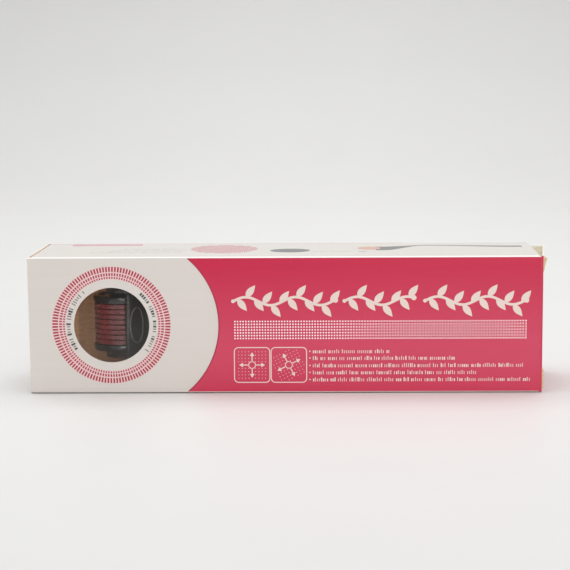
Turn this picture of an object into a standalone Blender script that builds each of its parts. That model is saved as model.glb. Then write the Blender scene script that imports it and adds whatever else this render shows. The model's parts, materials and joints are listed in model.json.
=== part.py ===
"""A derma roller in its retail carton.

Frame: metres, +Z up, +X along the carton towards the handle's end, +Y towards the
carton's back panel. The origin is the centre of the carton's bottom face. The carton
is a reverse tuck-end box with a round window in its front panel. Inside, a clear
tray holds the roller with its axle upright behind the window.
"""
from math import acos, cos, pi, radians, sin, sqrt

import bmesh
import bpy
from mathutils import Vector

MM = 0.001

# Carton
CARTON_LENGTH = 185.0 * MM
CARTON_DEPTH = 42.0 * MM
CARTON_HEIGHT = 49.7 * MM
BOARD = 0.45 * MM
CREASE_GAP = 0.30 * MM
CREASE_RADIUS = 0.60 * MM
INNER_CREASE_RADIUS = 0.20 * MM
CREASE_STEPS = 3

# Window in the front panel, and its film
WINDOW_FROM_LEFT_END = 29.3 * MM
WINDOW_ABOVE_MIDDLE = 0.10 * MM
WINDOW_RADIUS = 13.70 * MM
WINDOW_CUTTER_HALF_DEPTH = 2.0 * MM
FILM_HALF_SIZE = 15.7 * MM
FILM_THICKNESS = 0.20 * MM

# Glue flap inside the bottom panel, along the back
GLUE_FLAP_WIDTH = 14.0 * MM
GLUE_FLAP_END_INSET = 4.0 * MM

# Lids, tucks and dust flaps: both ends are alike, turned half round
LID_CREASE_OFFSET = 0.15 * MM
LID_SIDE_INSET = 0.20 * MM
LID_REACH = 41.20 * MM
TUCK_LENGTH = 14.0 * MM
TUCK_SIDE_INSET = 1.30 * MM
TUCK_CORNER = 6.0 * MM
DUST_FLAP_LENGTH = 20.0 * MM
DUST_FLAP_LID_SIDE_START = 2.0 * MM
DUST_FLAP_TAPER_DEPTH = 9.0 * MM
DUST_FLAP_TUCK_CLEARANCE = 4.8 * MM
DUST_FLAP_TIP_LEAN = 1.0 * MM
DUST_FLAP_CORNER = 6.0 * MM
CORNER_STEPS = 5
RIGHT_LID_OPEN = radians(7.5)
LEFT_TUCK_PAST_SQUARE = radians(8.0)
DUST_FLAP_TO_LID_RATIO = 0.5

# Roller head, measured from the roll's centre, which hangs a little below the middle
ROLL_BELOW_MIDDLE = 1.75 * MM
ROLL_CENTRE = Vector((-62.4 * MM, 0.0, CARTON_HEIGHT / 2 - ROLL_BELOW_MIDDLE))
AXLE_RADIUS = 0.80 * MM
AXLE_HALF_LENGTH = 13.0 * MM
ROLL_BORE_RADIUS = 1.00 * MM
CORE_RADIUS = 3.0 * MM
DISC_COUNT = 8
DISC_PITCH = 1.90 * MM
DISC_THICKNESS = 1.60 * MM
DISC_RADIUS = 9.60 * MM
DISC_BORE_RADIUS = 3.30 * MM
NEEDLES_PER_DISC = 24
NEEDLE_LENGTH = 0.50 * MM
NEEDLE_BASE_INSET = 0.42 * MM
FLANGE_RADIUS = 10.0 * MM
FLANGE_THICKNESS = 2.55 * MM
FLANGE_CHAMFER = 0.35 * MM
ROLL_GAP = 0.30 * MM

# Yoke
ARM_TIP_RADIUS = 5.0 * MM
ARM_THICKNESS = 2.50 * MM
ARM_CLEARANCE = 0.40 * MM
ARM_ROOT_X = 13.0 * MM
ARM_ROOT_HALF_WIDTH = 8.8 * MM
ARM_TIP_ARC_START = radians(105.0)
ARM_TIP_STEPS = 12
ARM_BORE_RADIUS = 1.10 * MM
HOOD_INNER_RADIUS = 10.7 * MM
HOOD_OUTER_RADIUS = 12.2 * MM
HOOD_EDGE_X = 3.8 * MM
HOOD_EDGE_RECEDES = radians(13.0)
HOOD_LEVELS = 8
HOOD_ARC_STEPS = 12
NECK_START_X = 11.2 * MM
NECK_END_X = 24.0 * MM
NECK_ROOT_INSET = 0.2 * MM
NECK_STEPS = 4
NECK_SECTION_STEPS = 20
NECK_SECTION_POWER = 0.5
PLUG_END_X = 33.0 * MM
PLUG_HALF_DEPTH = 3.0 * MM
PLUG_HALF_HEIGHT = 4.0 * MM

# Handle, measured from its neck end; stations are (x, half depth, half height)
HANDLE_GAP = 0.30 * MM
HANDLE_LENGTH = 116.0 * MM
HANDLE_STATIONS = (
    (0.0 * MM, 5.3 * MM, 6.3 * MM),
    (28.0 * MM, 7.8 * MM, 9.0 * MM),
    (66.0 * MM, 5.4 * MM, 7.0 * MM),
    (98.0 * MM, 6.6 * MM, 8.2 * MM),
    (116.0 * MM, 6.0 * MM, 7.6 * MM),
)
HANDLE_SWAY = 2.2 * MM
HANDLE_END_ROUNDING = 8.0 * MM
HANDLE_WALL = 1.6 * MM
HANDLE_MOUTH_OVERCUT = 1.0 * MM
HANDLE_BODY_RINGS = 16
HANDLE_NOSE_RINGS = 6
HANDLE_RING_STEPS = 12

# Tray
TRAY_SHEET = 0.40 * MM
TRAY_HALF_LENGTH = 89.5 * MM
TRAY_HALF_HEIGHT = 22.7 * MM
TRAY_DRAFT = 1.0 * MM
TRAY_BACK_Y = 17.0 * MM
TRAY_RIM_Y = -15.0 * MM
TRAY_FLOOR_Y = 13.5 * MM
POCKET_LEFT_X = -76.0 * MM
POCKET_RIGHT_X = 81.0 * MM
POCKET_WALL_SLOPE = 1.4 * MM
HEAD_POCKET_HALF_HEIGHT = 16.2 * MM
NECK_POCKET_HALF_HEIGHT = 12.5 * MM
HANDLE_POCKET_HALF_HEIGHT = 11.6 * MM
FINGER_NOTCH_HALF_HEIGHT = 17.5 * MM
FINGER_NOTCH_STARTS = (14.0 * MM, 20.0 * MM)
FINGER_NOTCH_ENDS = (32.0 * MM, 38.0 * MM)
HEAD_POCKET_END = 15.0 * MM
HEAD_STATIONS = (0.0, 15.0 * MM, 19.5 * MM, 24.0 * MM)
HANDLE_POCKET_STATIONS = (
    -20.0 * MM, 0.0, 14.0 * MM, 17.0 * MM, 20.0 * MM, 32.0 * MM, 35.0 * MM, 38.0 * MM, 60.0 * MM,
)

ROUND_STEPS = 48
SMALL_ROUND_STEPS = 20
SHARP_ANGLE = radians(40.0)

# Materials: colour, roughness, metallic, alpha
MATERIALS = {
    "printed_board": ((0.58, 0.045, 0.10), 0.45, 0.0, 1.0),
    "white_board": ((0.70, 0.66, 0.62), 0.50, 0.0, 1.0),
    "raw_board": ((0.62, 0.50, 0.36), 0.85, 0.0, 1.0),
    "clear_film": ((0.85, 0.88, 0.88), 0.08, 0.0, 0.25),
    "clear_sheet": ((0.85, 0.88, 0.88), 0.12, 0.0, 0.35),
    "gloss_black": ((0.012, 0.012, 0.013), 0.22, 0.0, 1.0),
    "disc_red": ((0.30, 0.010, 0.012), 0.25, 0.0, 1.0),
    "steel": ((0.60, 0.60, 0.62), 0.30, 1.0, 1.0),
}


# ---------------------------------------------------------------- scene and objects

def clear_scene():
    for existing in list(bpy.data.objects):
        bpy.data.objects.remove(existing, do_unlink=True)


def make_material(name):
    colour, roughness, metallic, alpha = MATERIALS[name]
    material = bpy.data.materials.new(name)
    material.use_nodes = True
    shader = material.node_tree.nodes["Principled BSDF"]
    shader.inputs["Base Color"].default_value = (*colour, 1.0)
    shader.inputs["Roughness"].default_value = roughness
    shader.inputs["Metallic"].default_value = metallic
    shader.inputs["Alpha"].default_value = alpha
    return material


def make_mesh(name, bm):
    bmesh.ops.recalc_face_normals(bm, faces=bm.faces)
    mesh = bpy.data.meshes.new(name)
    bm.to_mesh(mesh)
    bm.free()
    return mesh


def add_object(name, mesh, material=None, location=(0.0, 0.0, 0.0), turn=0.0, parent=None):
    """Place a mesh as a named object; turn is its rotation about its own Z axis."""
    obj = bpy.data.objects.new(name, mesh)
    obj.location = location
    obj.rotation_euler.z = turn
    obj.parent = parent
    if material is not None:
        obj.data.materials.clear()
        obj.data.materials.append(material)
    bpy.context.scene.collection.objects.link(obj)
    return obj


def add_empty(name, location=(0.0, 0.0, 0.0), turn=0.0, parent=None):
    empty = bpy.data.objects.new(name, None)
    empty.location = location
    empty.rotation_euler.z = turn
    empty.parent = parent
    bpy.context.scene.collection.objects.link(empty)
    return empty


def shade_round(obj):
    obj.data.shade_smooth()
    obj.data.set_sharp_from_angle(angle=SHARP_ANGLE)


def add_guide(name, mesh, location=(0.0, 0.0, 0.0), parent=None):
    guide = add_object(name, mesh, location=location, parent=parent)
    guide.hide_render = True
    guide.display_type = "WIRE"
    return guide


def add_boolean(obj, guide, operation):
    modifier = obj.modifiers.new(guide.name, "BOOLEAN")
    modifier.operation = operation
    modifier.solver = "EXACT"
    modifier.object = guide


# ------------------------------------------------------------------- mesh building

def loft(rings, closed=False):
    """Skin rings of equal length; the ends are capped unless the rings form a loop."""
    bm = bmesh.new()
    loops = [[bm.verts.new(point) for point in ring] for ring in rings]
    pairs = list(zip(loops, loops[1:]))
    if closed:
        pairs.append((loops[-1], loops[0]))
    for near, far in pairs:
        count = len(near)
        for k in range(count):
            following = (k + 1) % count
            bm.faces.new((near[k], near[following], far[following], far[k]))
    if not closed:
        bm.faces.new(loops[0])
        bm.faces.new(loops[-1])
    return bm


def prism(outline, direction):
    """A flat outline of 3D points, given thickness along a vector."""
    return loft([outline, [Vector(point) + Vector(direction) for point in outline]])


def arc(centre, radius, start, end, steps):
    """Points (u, v) on an arc from one angle to another, both ends included."""
    points = []
    for k in range(steps + 1):
        angle = start + (end - start) * k / steps
        points.append((centre[0] + radius * cos(angle), centre[1] + radius * sin(angle)))
    return points


def circle(radius, steps, level):
    return [Vector((u, v, level)) for u, v in arc((0.0, 0.0), radius, 0.0, 2 * pi, steps)[:-1]]


def turned(profile, steps):
    """A ring-shaped solid from a closed profile of (radius, height) points."""
    return loft([circle(radius, steps, height) for radius, height in profile], closed=True)


def solid_cylinder(radius, half_length, steps, chamfer=0.0):
    rings = [circle(radius, steps, -half_length), circle(radius, steps, half_length)]
    if chamfer:
        rings = [
            circle(radius - chamfer, steps, -half_length),
            circle(radius, steps, chamfer - half_length),
            circle(radius, steps, half_length - chamfer),
            circle(radius - chamfer, steps, half_length),
        ]
    return loft(rings)


def smooth_step(t):
    t = min(max(t, 0.0), 1.0)
    return t * t * (3.0 - 2.0 * t)


# -------------------------------------------------------------------------- carton

def carton_section(inset, radius, x):
    """The carton's cross-section at x, pulled in by an inset, with round creases."""
    half_depth = CARTON_DEPTH / 2 - inset
    low, high = inset, CARTON_HEIGHT - inset
    corners = (
        (half_depth - radius, high - radius, 0.0),
        (radius - half_depth, high - radius, pi / 2),
        (radius - half_depth, low + radius, pi),
        (half_depth - radius, low + radius, 3 * pi / 2),
    )
    points = []
    for y, z, start in corners:
        points += arc((y, z), radius, start, start + pi / 2, CREASE_STEPS)
    return [Vector((x, y, z)) for y, z in points]


def tube_half_length():
    """The panels stop one board and one gap short of the carton's full length."""
    return CARTON_LENGTH / 2 - BOARD - CREASE_GAP


def build_carton_body(material):
    half = tube_half_length()
    tube = loft([
        carton_section(0.0, CREASE_RADIUS, -half),
        carton_section(0.0, CREASE_RADIUS, half),
        carton_section(BOARD, INNER_CREASE_RADIUS, half),
        carton_section(BOARD, INNER_CREASE_RADIUS, -half),
    ], closed=True)
    body = add_object("carton_body", make_mesh("carton_body", tube), material)
    plug = solid_cylinder(WINDOW_RADIUS, WINDOW_CUTTER_HALF_DEPTH, ROUND_STEPS)
    cutter = add_guide("window_cutter", make_mesh("window_cutter", plug), window_centre(-CARTON_DEPTH / 2))
    cutter.rotation_euler.x = pi / 2
    add_boolean(body, cutter, "DIFFERENCE")
    return body


def window_centre(y):
    x = WINDOW_FROM_LEFT_END - CARTON_LENGTH / 2
    return Vector((x, y, CARTON_HEIGHT / 2 + WINDOW_ABOVE_MIDDLE))


def build_window_film(material):
    """A clear square glued behind the window."""
    centre = window_centre(-CARTON_DEPTH / 2 + BOARD + CREASE_GAP)
    corners = ((-1, -1), (1, -1), (1, 1), (-1, 1))
    outline = [centre + Vector((u * FILM_HALF_SIZE, 0.0, v * FILM_HALF_SIZE)) for u, v in corners]
    film = prism(outline, (0.0, FILM_THICKNESS, 0.0))
    return add_object("window_film", make_mesh("window_film", film), material)


def build_glue_flap(material):
    """The seam's flap, glued inside the bottom panel along the back crease."""
    level = BOARD + CREASE_GAP
    back = CARTON_DEPTH / 2 - BOARD - CREASE_GAP
    half = tube_half_length()
    tapered = half - GLUE_FLAP_END_INSET
    outline = [
        Vector((-half, back, level)),
        Vector((half, back, level)),
        Vector((tapered, back - GLUE_FLAP_WIDTH, level)),
        Vector((-tapered, back - GLUE_FLAP_WIDTH, level)),
    ]
    flap = prism(outline, (0.0, 0.0, BOARD))
    return add_object("glue_flap", make_mesh("glue_flap", flap), material)


# --------------------------------------------------------------------- carton ends
# Each end is modelled as the right one, in the frame of an empty at the carton's
# middle. The left end's empty is turned half round, so its lid hinges at the back.

def lid_mesh(name):
    """A closed lid, from the crease at its own origin towards +Y, at +X."""
    half_height = CARTON_HEIGHT / 2 - LID_SIDE_INSET
    far = LID_REACH - BOARD - CREASE_GAP
    outline = [
        Vector((LID_CREASE_OFFSET, LID_CREASE_OFFSET, -half_height)),
        Vector((LID_CREASE_OFFSET, far, -half_height)),
        Vector((LID_CREASE_OFFSET, far, half_height)),
        Vector((LID_CREASE_OFFSET, LID_CREASE_OFFSET, half_height)),
    ]
    return make_mesh(name, prism(outline, (BOARD, 0.0, 0.0)))


def tuck_mesh(name):
    """A tuck flap folded square, from its crease at the origin towards -X."""
    half_height = CARTON_HEIGHT / 2 - TUCK_SIDE_INSET
    straight = half_height - TUCK_CORNER
    tip = TUCK_LENGTH - TUCK_CORNER
    outline = [(-LID_CREASE_OFFSET, half_height)]
    outline += arc((-tip, straight), TUCK_CORNER, pi / 2, pi, CORNER_STEPS)
    outline += arc((-tip, -straight), TUCK_CORNER, pi, 3 * pi / 2, CORNER_STEPS)
    outline.append((-LID_CREASE_OFFSET, -half_height))
    points = [Vector((x, LID_CREASE_OFFSET, z)) for x, z in outline]
    return make_mesh(name, prism(points, (0.0, BOARD, 0.0)))


def dust_flap_mesh(name, side):
    """A dust flap hanging from its crease; side is +1 at the top, -1 at the bottom."""
    start = -CARTON_DEPTH / 2 + DUST_FLAP_LID_SIDE_START
    taper_end = start + DUST_FLAP_TAPER_DEPTH
    far = CARTON_DEPTH / 2 - DUST_FLAP_TUCK_CLEARANCE
    tip = DUST_FLAP_LENGTH
    corner = (far - DUST_FLAP_CORNER, tip - DUST_FLAP_CORNER)
    outline = [
        (start, CREASE_GAP),
        (taper_end, DUST_FLAP_TAPER_DEPTH),
        (taper_end + DUST_FLAP_TIP_LEAN, tip),
    ]
    outline += arc(corner, DUST_FLAP_CORNER, pi / 2, 0.0, CORNER_STEPS)
    outline.append((far, CREASE_GAP))
    points = [Vector((-BOARD, y, -side * drop)) for y, drop in outline]
    return make_mesh(name, prism(points, (BOARD, 0.0, 0.0)))


def build_end(prefix, turn, lid_open, tuck_past_square, board):
    """A lid with its tuck flap, and two dust flaps, all on their creases."""
    end = add_empty(prefix + "_end", turn=turn)
    hinge = (tube_half_length() + LID_CREASE_OFFSET, -CARTON_DEPTH / 2, CARTON_HEIGHT / 2)
    lid_name = prefix + "_lid"
    lid = add_object(lid_name, lid_mesh(lid_name), board, hinge, -lid_open, end)
    tuck_name = prefix + "_tuck_flap"
    tuck_crease = (0.0, LID_REACH - BOARD - LID_CREASE_OFFSET, 0.0)
    fold = lid_open + tuck_past_square
    add_object(tuck_name, tuck_mesh(tuck_name), board, tuck_crease, fold, lid)
    for word, side in (("upper", 1), ("lower", -1)):
        name = f"{prefix}_{word}_dust_flap"
        level = CARTON_HEIGHT / 2 + side * (CARTON_HEIGHT / 2 - BOARD)
        crease = (tube_half_length(), 0.0, level)
        flap = add_object(name, dust_flap_mesh(name, side), board, crease, 0.0, end)
        flap.rotation_euler.y = -side * lid_open * DUST_FLAP_TO_LID_RATIO


# ---------------------------------------------------------------------------- roll

def build_axle_pin(material, roller):
    pin = solid_cylinder(AXLE_RADIUS, AXLE_HALF_LENGTH, SMALL_ROUND_STEPS, AXLE_RADIUS / 4)
    shade_round(add_object("axle_pin", make_mesh("axle_pin", pin), material, parent=roller))


def stack_half_length():
    return ((DISC_COUNT - 1) * DISC_PITCH + DISC_THICKNESS) / 2


def build_roll_core(material, roll):
    half = stack_half_length()
    profile = [
        (ROLL_BORE_RADIUS, -half),
        (CORE_RADIUS, -half),
        (CORE_RADIUS, half),
        (ROLL_BORE_RADIUS, half),
    ]
    core = make_mesh("roll_core", turned(profile, SMALL_ROUND_STEPS))
    shade_round(add_object("roll_core", core, material, parent=roll))


def build_flange(name, side, material, roll):
    """A black end flange of the roll, with a chamfered rim."""
    near = stack_half_length() + ROLL_GAP
    far = near + FLANGE_THICKNESS
    rim = FLANGE_RADIUS - FLANGE_CHAMFER
    profile = [
        (ROLL_BORE_RADIUS, side * near),
        (rim, side * near),
        (FLANGE_RADIUS, side * (near + FLANGE_CHAMFER)),
        (FLANGE_RADIUS, side * (far - FLANGE_CHAMFER)),
        (rim, side * far),
        (ROLL_BORE_RADIUS, side * far),
    ]
    flange = make_mesh(name, turned(profile, ROUND_STEPS))
    shade_round(add_object(name, flange, material, parent=roll))


def needle_disc_mesh():
    """A disc whose every other rim facet carries one needle."""
    half = DISC_THICKNESS / 2
    rim_steps = 2 * NEEDLES_PER_DISC
    bm = bmesh.new()
    rims = []
    bores = []
    for level in (-half, half):
        rims.append([bm.verts.new(point) for point in circle(DISC_RADIUS, rim_steps, level)])
        bores.append([bm.verts.new(point) for point in circle(DISC_BORE_RADIUS, NEEDLES_PER_DISC, level)])
    needle_bases = []
    for k in range(NEEDLES_PER_DISC):
        first, middle, last = 2 * k, 2 * k + 1, (2 * k + 2) % rim_steps
        following = (k + 1) % NEEDLES_PER_DISC
        for rim, bore in zip(rims, bores):
            bm.faces.new((bore[k], rim[first], rim[middle]))
            bm.faces.new((bore[k], rim[middle], rim[last], bore[following]))
        bm.faces.new((bores[0][k], bores[0][following], bores[1][following], bores[1][k]))
        bm.faces.new((rims[0][first], rims[0][middle], rims[1][middle], rims[1][first]))
        base = bm.faces.new((rims[0][middle], rims[0][last], rims[1][last], rims[1][middle]))
        needle_bases.append(base)
    bmesh.ops.recalc_face_normals(bm, faces=bm.faces)
    bmesh.ops.inset_individual(bm, faces=needle_bases, thickness=NEEDLE_BASE_INSET)
    bmesh.ops.poke(bm, faces=needle_bases, offset=NEEDLE_LENGTH)
    return make_mesh("needle_disc", bm)


def build_needle_discs(material, roll):
    """Identical discs on one mesh; every second one is turned by half a needle pitch."""
    mesh = needle_disc_mesh()
    half_pitch = pi / NEEDLES_PER_DISC
    for k in range(DISC_COUNT):
        level = (k - (DISC_COUNT - 1) / 2) * DISC_PITCH
        name = f"needle_disc_{k + 1}"
        add_object(name, mesh, material, (0.0, 0.0, level), (k % 2) * half_pitch, roll)


# ---------------------------------------------------------------------------- yoke

def arm_inner_level():
    return stack_half_length() + ROLL_GAP + FLANGE_THICKNESS + ARM_CLEARANCE


def arm_mesh(name, side):
    """An arm of the yoke: round about the axle, widening towards the neck."""
    near = side * arm_inner_level()
    tip_end = 2 * pi - ARM_TIP_ARC_START
    outline = arc((0.0, 0.0), ARM_TIP_RADIUS, ARM_TIP_ARC_START, tip_end, ARM_TIP_STEPS)
    outline += [(ARM_ROOT_X, -ARM_ROOT_HALF_WIDTH), (ARM_ROOT_X, ARM_ROOT_HALF_WIDTH)]
    points = [Vector((x, y, near)) for x, y in outline]
    return make_mesh(name, prism(points, (0.0, 0.0, side * ARM_THICKNESS)))


def hood_mesh():
    """A curved shield round the roll's handle side; its front edge bulges at mid height."""
    reach = arm_inner_level() + ARM_THICKNESS / 2
    widest = acos(HOOD_EDGE_X / HOOD_OUTER_RADIUS)
    rings = []
    for k in range(HOOD_LEVELS + 1):
        t = 2.0 * k / HOOD_LEVELS - 1.0
        half_angle = widest - HOOD_EDGE_RECEDES * t * t
        outer = arc((0.0, 0.0), HOOD_OUTER_RADIUS, -half_angle, half_angle, HOOD_ARC_STEPS)
        inner = arc((0.0, 0.0), HOOD_INNER_RADIUS, half_angle, -half_angle, HOOD_ARC_STEPS)
        rings.append([Vector((x, y, t * reach)) for x, y in outer + inner])
    return make_mesh("yoke_hood", loft(rings))


def rounded_section(x, half_depth, half_height):
    """A rounded-rectangle section in the YZ plane."""
    points = []
    for k in range(NECK_SECTION_STEPS):
        angle = 2 * pi * (k + 0.5) / NECK_SECTION_STEPS
        c, s = cos(angle), sin(angle)
        y = half_depth * abs(c) ** NECK_SECTION_POWER * (1 if c > 0 else -1)
        z = half_height * abs(s) ** NECK_SECTION_POWER * (1 if s > 0 else -1)
        points.append(Vector((x, y, z)))
    return points


def neck_mesh():
    """The neck behind the hood, narrowing to a plug that fits in the handle."""
    root_half_height = arm_inner_level() + ARM_THICKNESS - NECK_ROOT_INSET
    root_half_depth = ARM_ROOT_HALF_WIDTH
    rings = [rounded_section(NECK_START_X, root_half_depth, root_half_height)]
    handle_depth, handle_height = HANDLE_STATIONS[0][1:]
    for k in range(1, NECK_STEPS + 1):
        x = NECK_START_X + (NECK_END_X - NECK_START_X) * k / NECK_STEPS
        t = smooth_step(k / NECK_STEPS)
        half_depth = root_half_depth + (handle_depth - root_half_depth) * t
        half_height = root_half_height + (handle_height - root_half_height) * t
        rings.append(rounded_section(x, half_depth, half_height))
    rings.append(rounded_section(NECK_END_X, PLUG_HALF_DEPTH, PLUG_HALF_HEIGHT))
    rings.append(rounded_section(PLUG_END_X, PLUG_HALF_DEPTH, PLUG_HALF_HEIGHT))
    return make_mesh("yoke", loft(rings))


def build_yoke(material, roller):
    """One moulding: two arms, a hood between them, a neck and a plug."""
    yoke = add_object("yoke", neck_mesh(), material, parent=roller)
    hood = add_guide("yoke_hood", hood_mesh(), parent=roller)
    add_boolean(yoke, hood, "UNION")
    for name, side in (("yoke_upper_arm", 1), ("yoke_lower_arm", -1)):
        add_boolean(yoke, add_guide(name, arm_mesh(name, side), parent=roller), "UNION")
    reach = arm_inner_level() + 2 * ARM_THICKNESS
    bore = make_mesh("axle_bore_cutter", solid_cylinder(ARM_BORE_RADIUS, reach, SMALL_ROUND_STEPS))
    add_boolean(yoke, add_guide("axle_bore_cutter", bore, parent=roller), "DIFFERENCE")
    shade_round(yoke)


# -------------------------------------------------------------------------- handle

def handle_profile(x):
    """Half depth, half height and sideways sway of the handle at a distance x."""
    for near, far in zip(HANDLE_STATIONS, HANDLE_STATIONS[1:]):
        if x <= far[0]:
            break
    t = smooth_step((x - near[0]) / (far[0] - near[0]))
    half_depth = near[1] + (far[1] - near[1]) * t
    half_height = near[2] + (far[2] - near[2]) * t
    sway = HANDLE_SWAY * sin(2 * pi * x / HANDLE_LENGTH) * smooth_step(x / (HANDLE_LENGTH / 4))
    return half_depth, half_height, sway


def end_rounding(x, length, rounding):
    """A factor that closes the handle's far end with a round nose."""
    into = max(0.0, x - (length - rounding)) / rounding
    return sqrt(max(0.0, 1.0 - into * into))


def handle_ring_positions(start, length):
    """Even rings, then closer ones through the rounded end."""
    straight = length - HANDLE_END_ROUNDING
    positions = [start + (straight - start) * k / HANDLE_BODY_RINGS for k in range(HANDLE_BODY_RINGS)]
    quarter_step = pi / (2 * HANDLE_NOSE_RINGS)
    for k in range(HANDLE_NOSE_RINGS):
        positions.append(straight + HANDLE_END_ROUNDING * sin(k * quarter_step))
    return positions


def half_shell_mesh(name, side):
    """One solid half of the handle; side is -1 at the front, +1 at the back."""
    rings = []
    for x in handle_ring_positions(0.0, HANDLE_LENGTH):
        half_depth, half_height, sway = handle_profile(x)
        closing = end_rounding(x, HANDLE_LENGTH, HANDLE_END_ROUNDING)
        parting = sway + side * HANDLE_GAP / 2
        depth, height = side * half_depth * closing, half_height * closing
        half_circle = arc((0.0, 0.0), 1.0, 0.0, pi, HANDLE_RING_STEPS)
        rings.append([Vector((x, parting + depth * v, height * u)) for u, v in half_circle])
    return make_mesh(name, loft(rings))


def handle_cavity_mesh():
    """The hollow inside both shells, open at the neck."""
    length = HANDLE_LENGTH - 2 * HANDLE_WALL
    rings = []
    for x in handle_ring_positions(-HANDLE_MOUTH_OVERCUT, length):
        half_depth, half_height, sway = handle_profile(max(x, 0.0))
        closing = end_rounding(x, length, HANDLE_END_ROUNDING)
        depth = (half_depth - HANDLE_WALL) * closing
        height = (half_height - HANDLE_WALL) * closing
        unit_circle = circle(1.0, 2 * HANDLE_RING_STEPS, 0.0)
        rings.append([Vector((x, sway + depth * u, height * v)) for u, v, _ in unit_circle])
    return make_mesh("handle_cavity", loft(rings))


def build_handle(material, roller):
    start = (NECK_END_X + HANDLE_GAP, 0.0, 0.0)
    cavity = add_guide("handle_cavity", handle_cavity_mesh(), start, roller)
    for name, side in (("handle_front_shell", -1), ("handle_back_shell", 1)):
        shell = add_object(name, half_shell_mesh(name, side), material, start, parent=roller)
        add_boolean(shell, cavity, "DIFFERENCE")
        shade_round(shell)


# ---------------------------------------------------------------------------- tray

def pocket_half_height(x):
    """The tray pocket's half height: wide for the head, notched for fingers."""
    stops = (
        (POCKET_LEFT_X, HEAD_POCKET_HALF_HEIGHT),
        (ROLL_CENTRE.x + HEAD_POCKET_END, HEAD_POCKET_HALF_HEIGHT),
        (ROLL_CENTRE.x + NECK_END_X, NECK_POCKET_HALF_HEIGHT),
        (0.0, HANDLE_POCKET_HALF_HEIGHT),
        (FINGER_NOTCH_STARTS[0], HANDLE_POCKET_HALF_HEIGHT),
        (FINGER_NOTCH_STARTS[1], FINGER_NOTCH_HALF_HEIGHT),
        (FINGER_NOTCH_ENDS[0], FINGER_NOTCH_HALF_HEIGHT),
        (FINGER_NOTCH_ENDS[1], HANDLE_POCKET_HALF_HEIGHT),
        (POCKET_RIGHT_X, HANDLE_POCKET_HALF_HEIGHT),
    )
    for near, far in zip(stops, stops[1:]):
        if x <= far[0]:
            break
    t = smooth_step((x - near[0]) / (far[0] - near[0]))
    return near[1] + (far[1] - near[1]) * t


def tray_stations():
    """(x, kind of section) along the tray: its back edge, its rim or its sunk pocket."""
    left, right = POCKET_LEFT_X, POCKET_RIGHT_X
    rim_end = TRAY_HALF_LENGTH - TRAY_DRAFT
    inner = [ROLL_CENTRE.x + offset for offset in HEAD_STATIONS]
    inner += HANDLE_POCKET_STATIONS
    sunk = [left + POCKET_WALL_SLOPE] + inner + [right - POCKET_WALL_SLOPE]
    stations = [(-TRAY_HALF_LENGTH, "edge"), (-rim_end, "rim"), (left, "rim")]
    stations += [(x, "pocket") for x in sunk]
    stations += [(right, "rim"), (rim_end, "rim"), (TRAY_HALF_LENGTH, "edge")]
    return stations


def tray_section(x, kind):
    """Eight points across the tray, from its lower back edge to its upper one."""
    rim_half = TRAY_HALF_HEIGHT - TRAY_DRAFT
    pocket_half = pocket_half_height(min(max(x, POCKET_LEFT_X), POCKET_RIGHT_X))
    rim = TRAY_BACK_Y if kind == "edge" else TRAY_RIM_Y
    floor = TRAY_FLOOR_Y if kind == "pocket" else rim
    middle = CARTON_HEIGHT / 2
    across = (
        (TRAY_BACK_Y, middle, TRAY_HALF_HEIGHT),
        (rim, middle, rim_half),
        (rim, ROLL_CENTRE.z, pocket_half),
        (floor, ROLL_CENTRE.z, pocket_half - POCKET_WALL_SLOPE),
    )
    lower = [Vector((x, y, centre - reach)) for y, centre, reach in across]
    upper = [Vector((x, y, centre + reach)) for y, centre, reach in across]
    return lower + upper[::-1]


def build_blister_tray(material):
    """A clear formed sheet: skirt, rim at the front and a sunk pocket for the roller."""
    bm = bmesh.new()
    rows = [[bm.verts.new(point) for point in tray_section(x, kind)] for x, kind in tray_stations()]
    for near, far in zip(rows, rows[1:]):
        for k in range(len(near) - 1):
            bm.faces.new((near[k], far[k], far[k + 1], near[k + 1]))
    tray = add_object("blister_tray", make_mesh("blister_tray", bm), material)
    sheet = tray.modifiers.new("sheet", "SOLIDIFY")
    sheet.thickness = TRAY_SHEET
    sheet.offset = 0.0
    return tray


# -------------------------------------------------------------------------- the part

def build():
    clear_scene()
    materials = {name: make_material(name) for name in MATERIALS}
    board, black = materials["white_board"], materials["gloss_black"]
    build_carton_body(materials["printed_board"])
    build_window_film(materials["clear_film"])
    build_glue_flap(materials["raw_board"])
    build_end("right", 0.0, RIGHT_LID_OPEN, 0.0, board)
    build_end("left", pi, 0.0, LEFT_TUCK_PAST_SQUARE, board)

    build_blister_tray(materials["clear_sheet"])
    roller = add_empty("roller", ROLL_CENTRE)
    roll = add_empty("roll", parent=roller)
    build_yoke(black, roller)
    build_axle_pin(materials["steel"], roller)
    build_handle(black, roller)
    build_roll_core(black, roll)
    build_flange("upper_flange", 1, black, roll)
    build_flange("lower_flange", -1, black, roll)
    build_needle_discs(materials["disc_red"], roll)


build()
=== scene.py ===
"""The looks of the boxed derma roller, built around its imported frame.

The carton is a printed skin with ink laid on it as thin separate sheets. Its lids, tucks
and dust flaps are sheets of board that bend at their creases. The roller inside is a red
and black head with steel needles on a glossy black yoke, in a clear formed tray.
"""
import json
from math import copysign, cos, hypot, pi, radians, sin, sqrt
from random import Random

import bmesh
import bpy
from mathutils import Matrix, Vector, noise


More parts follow.
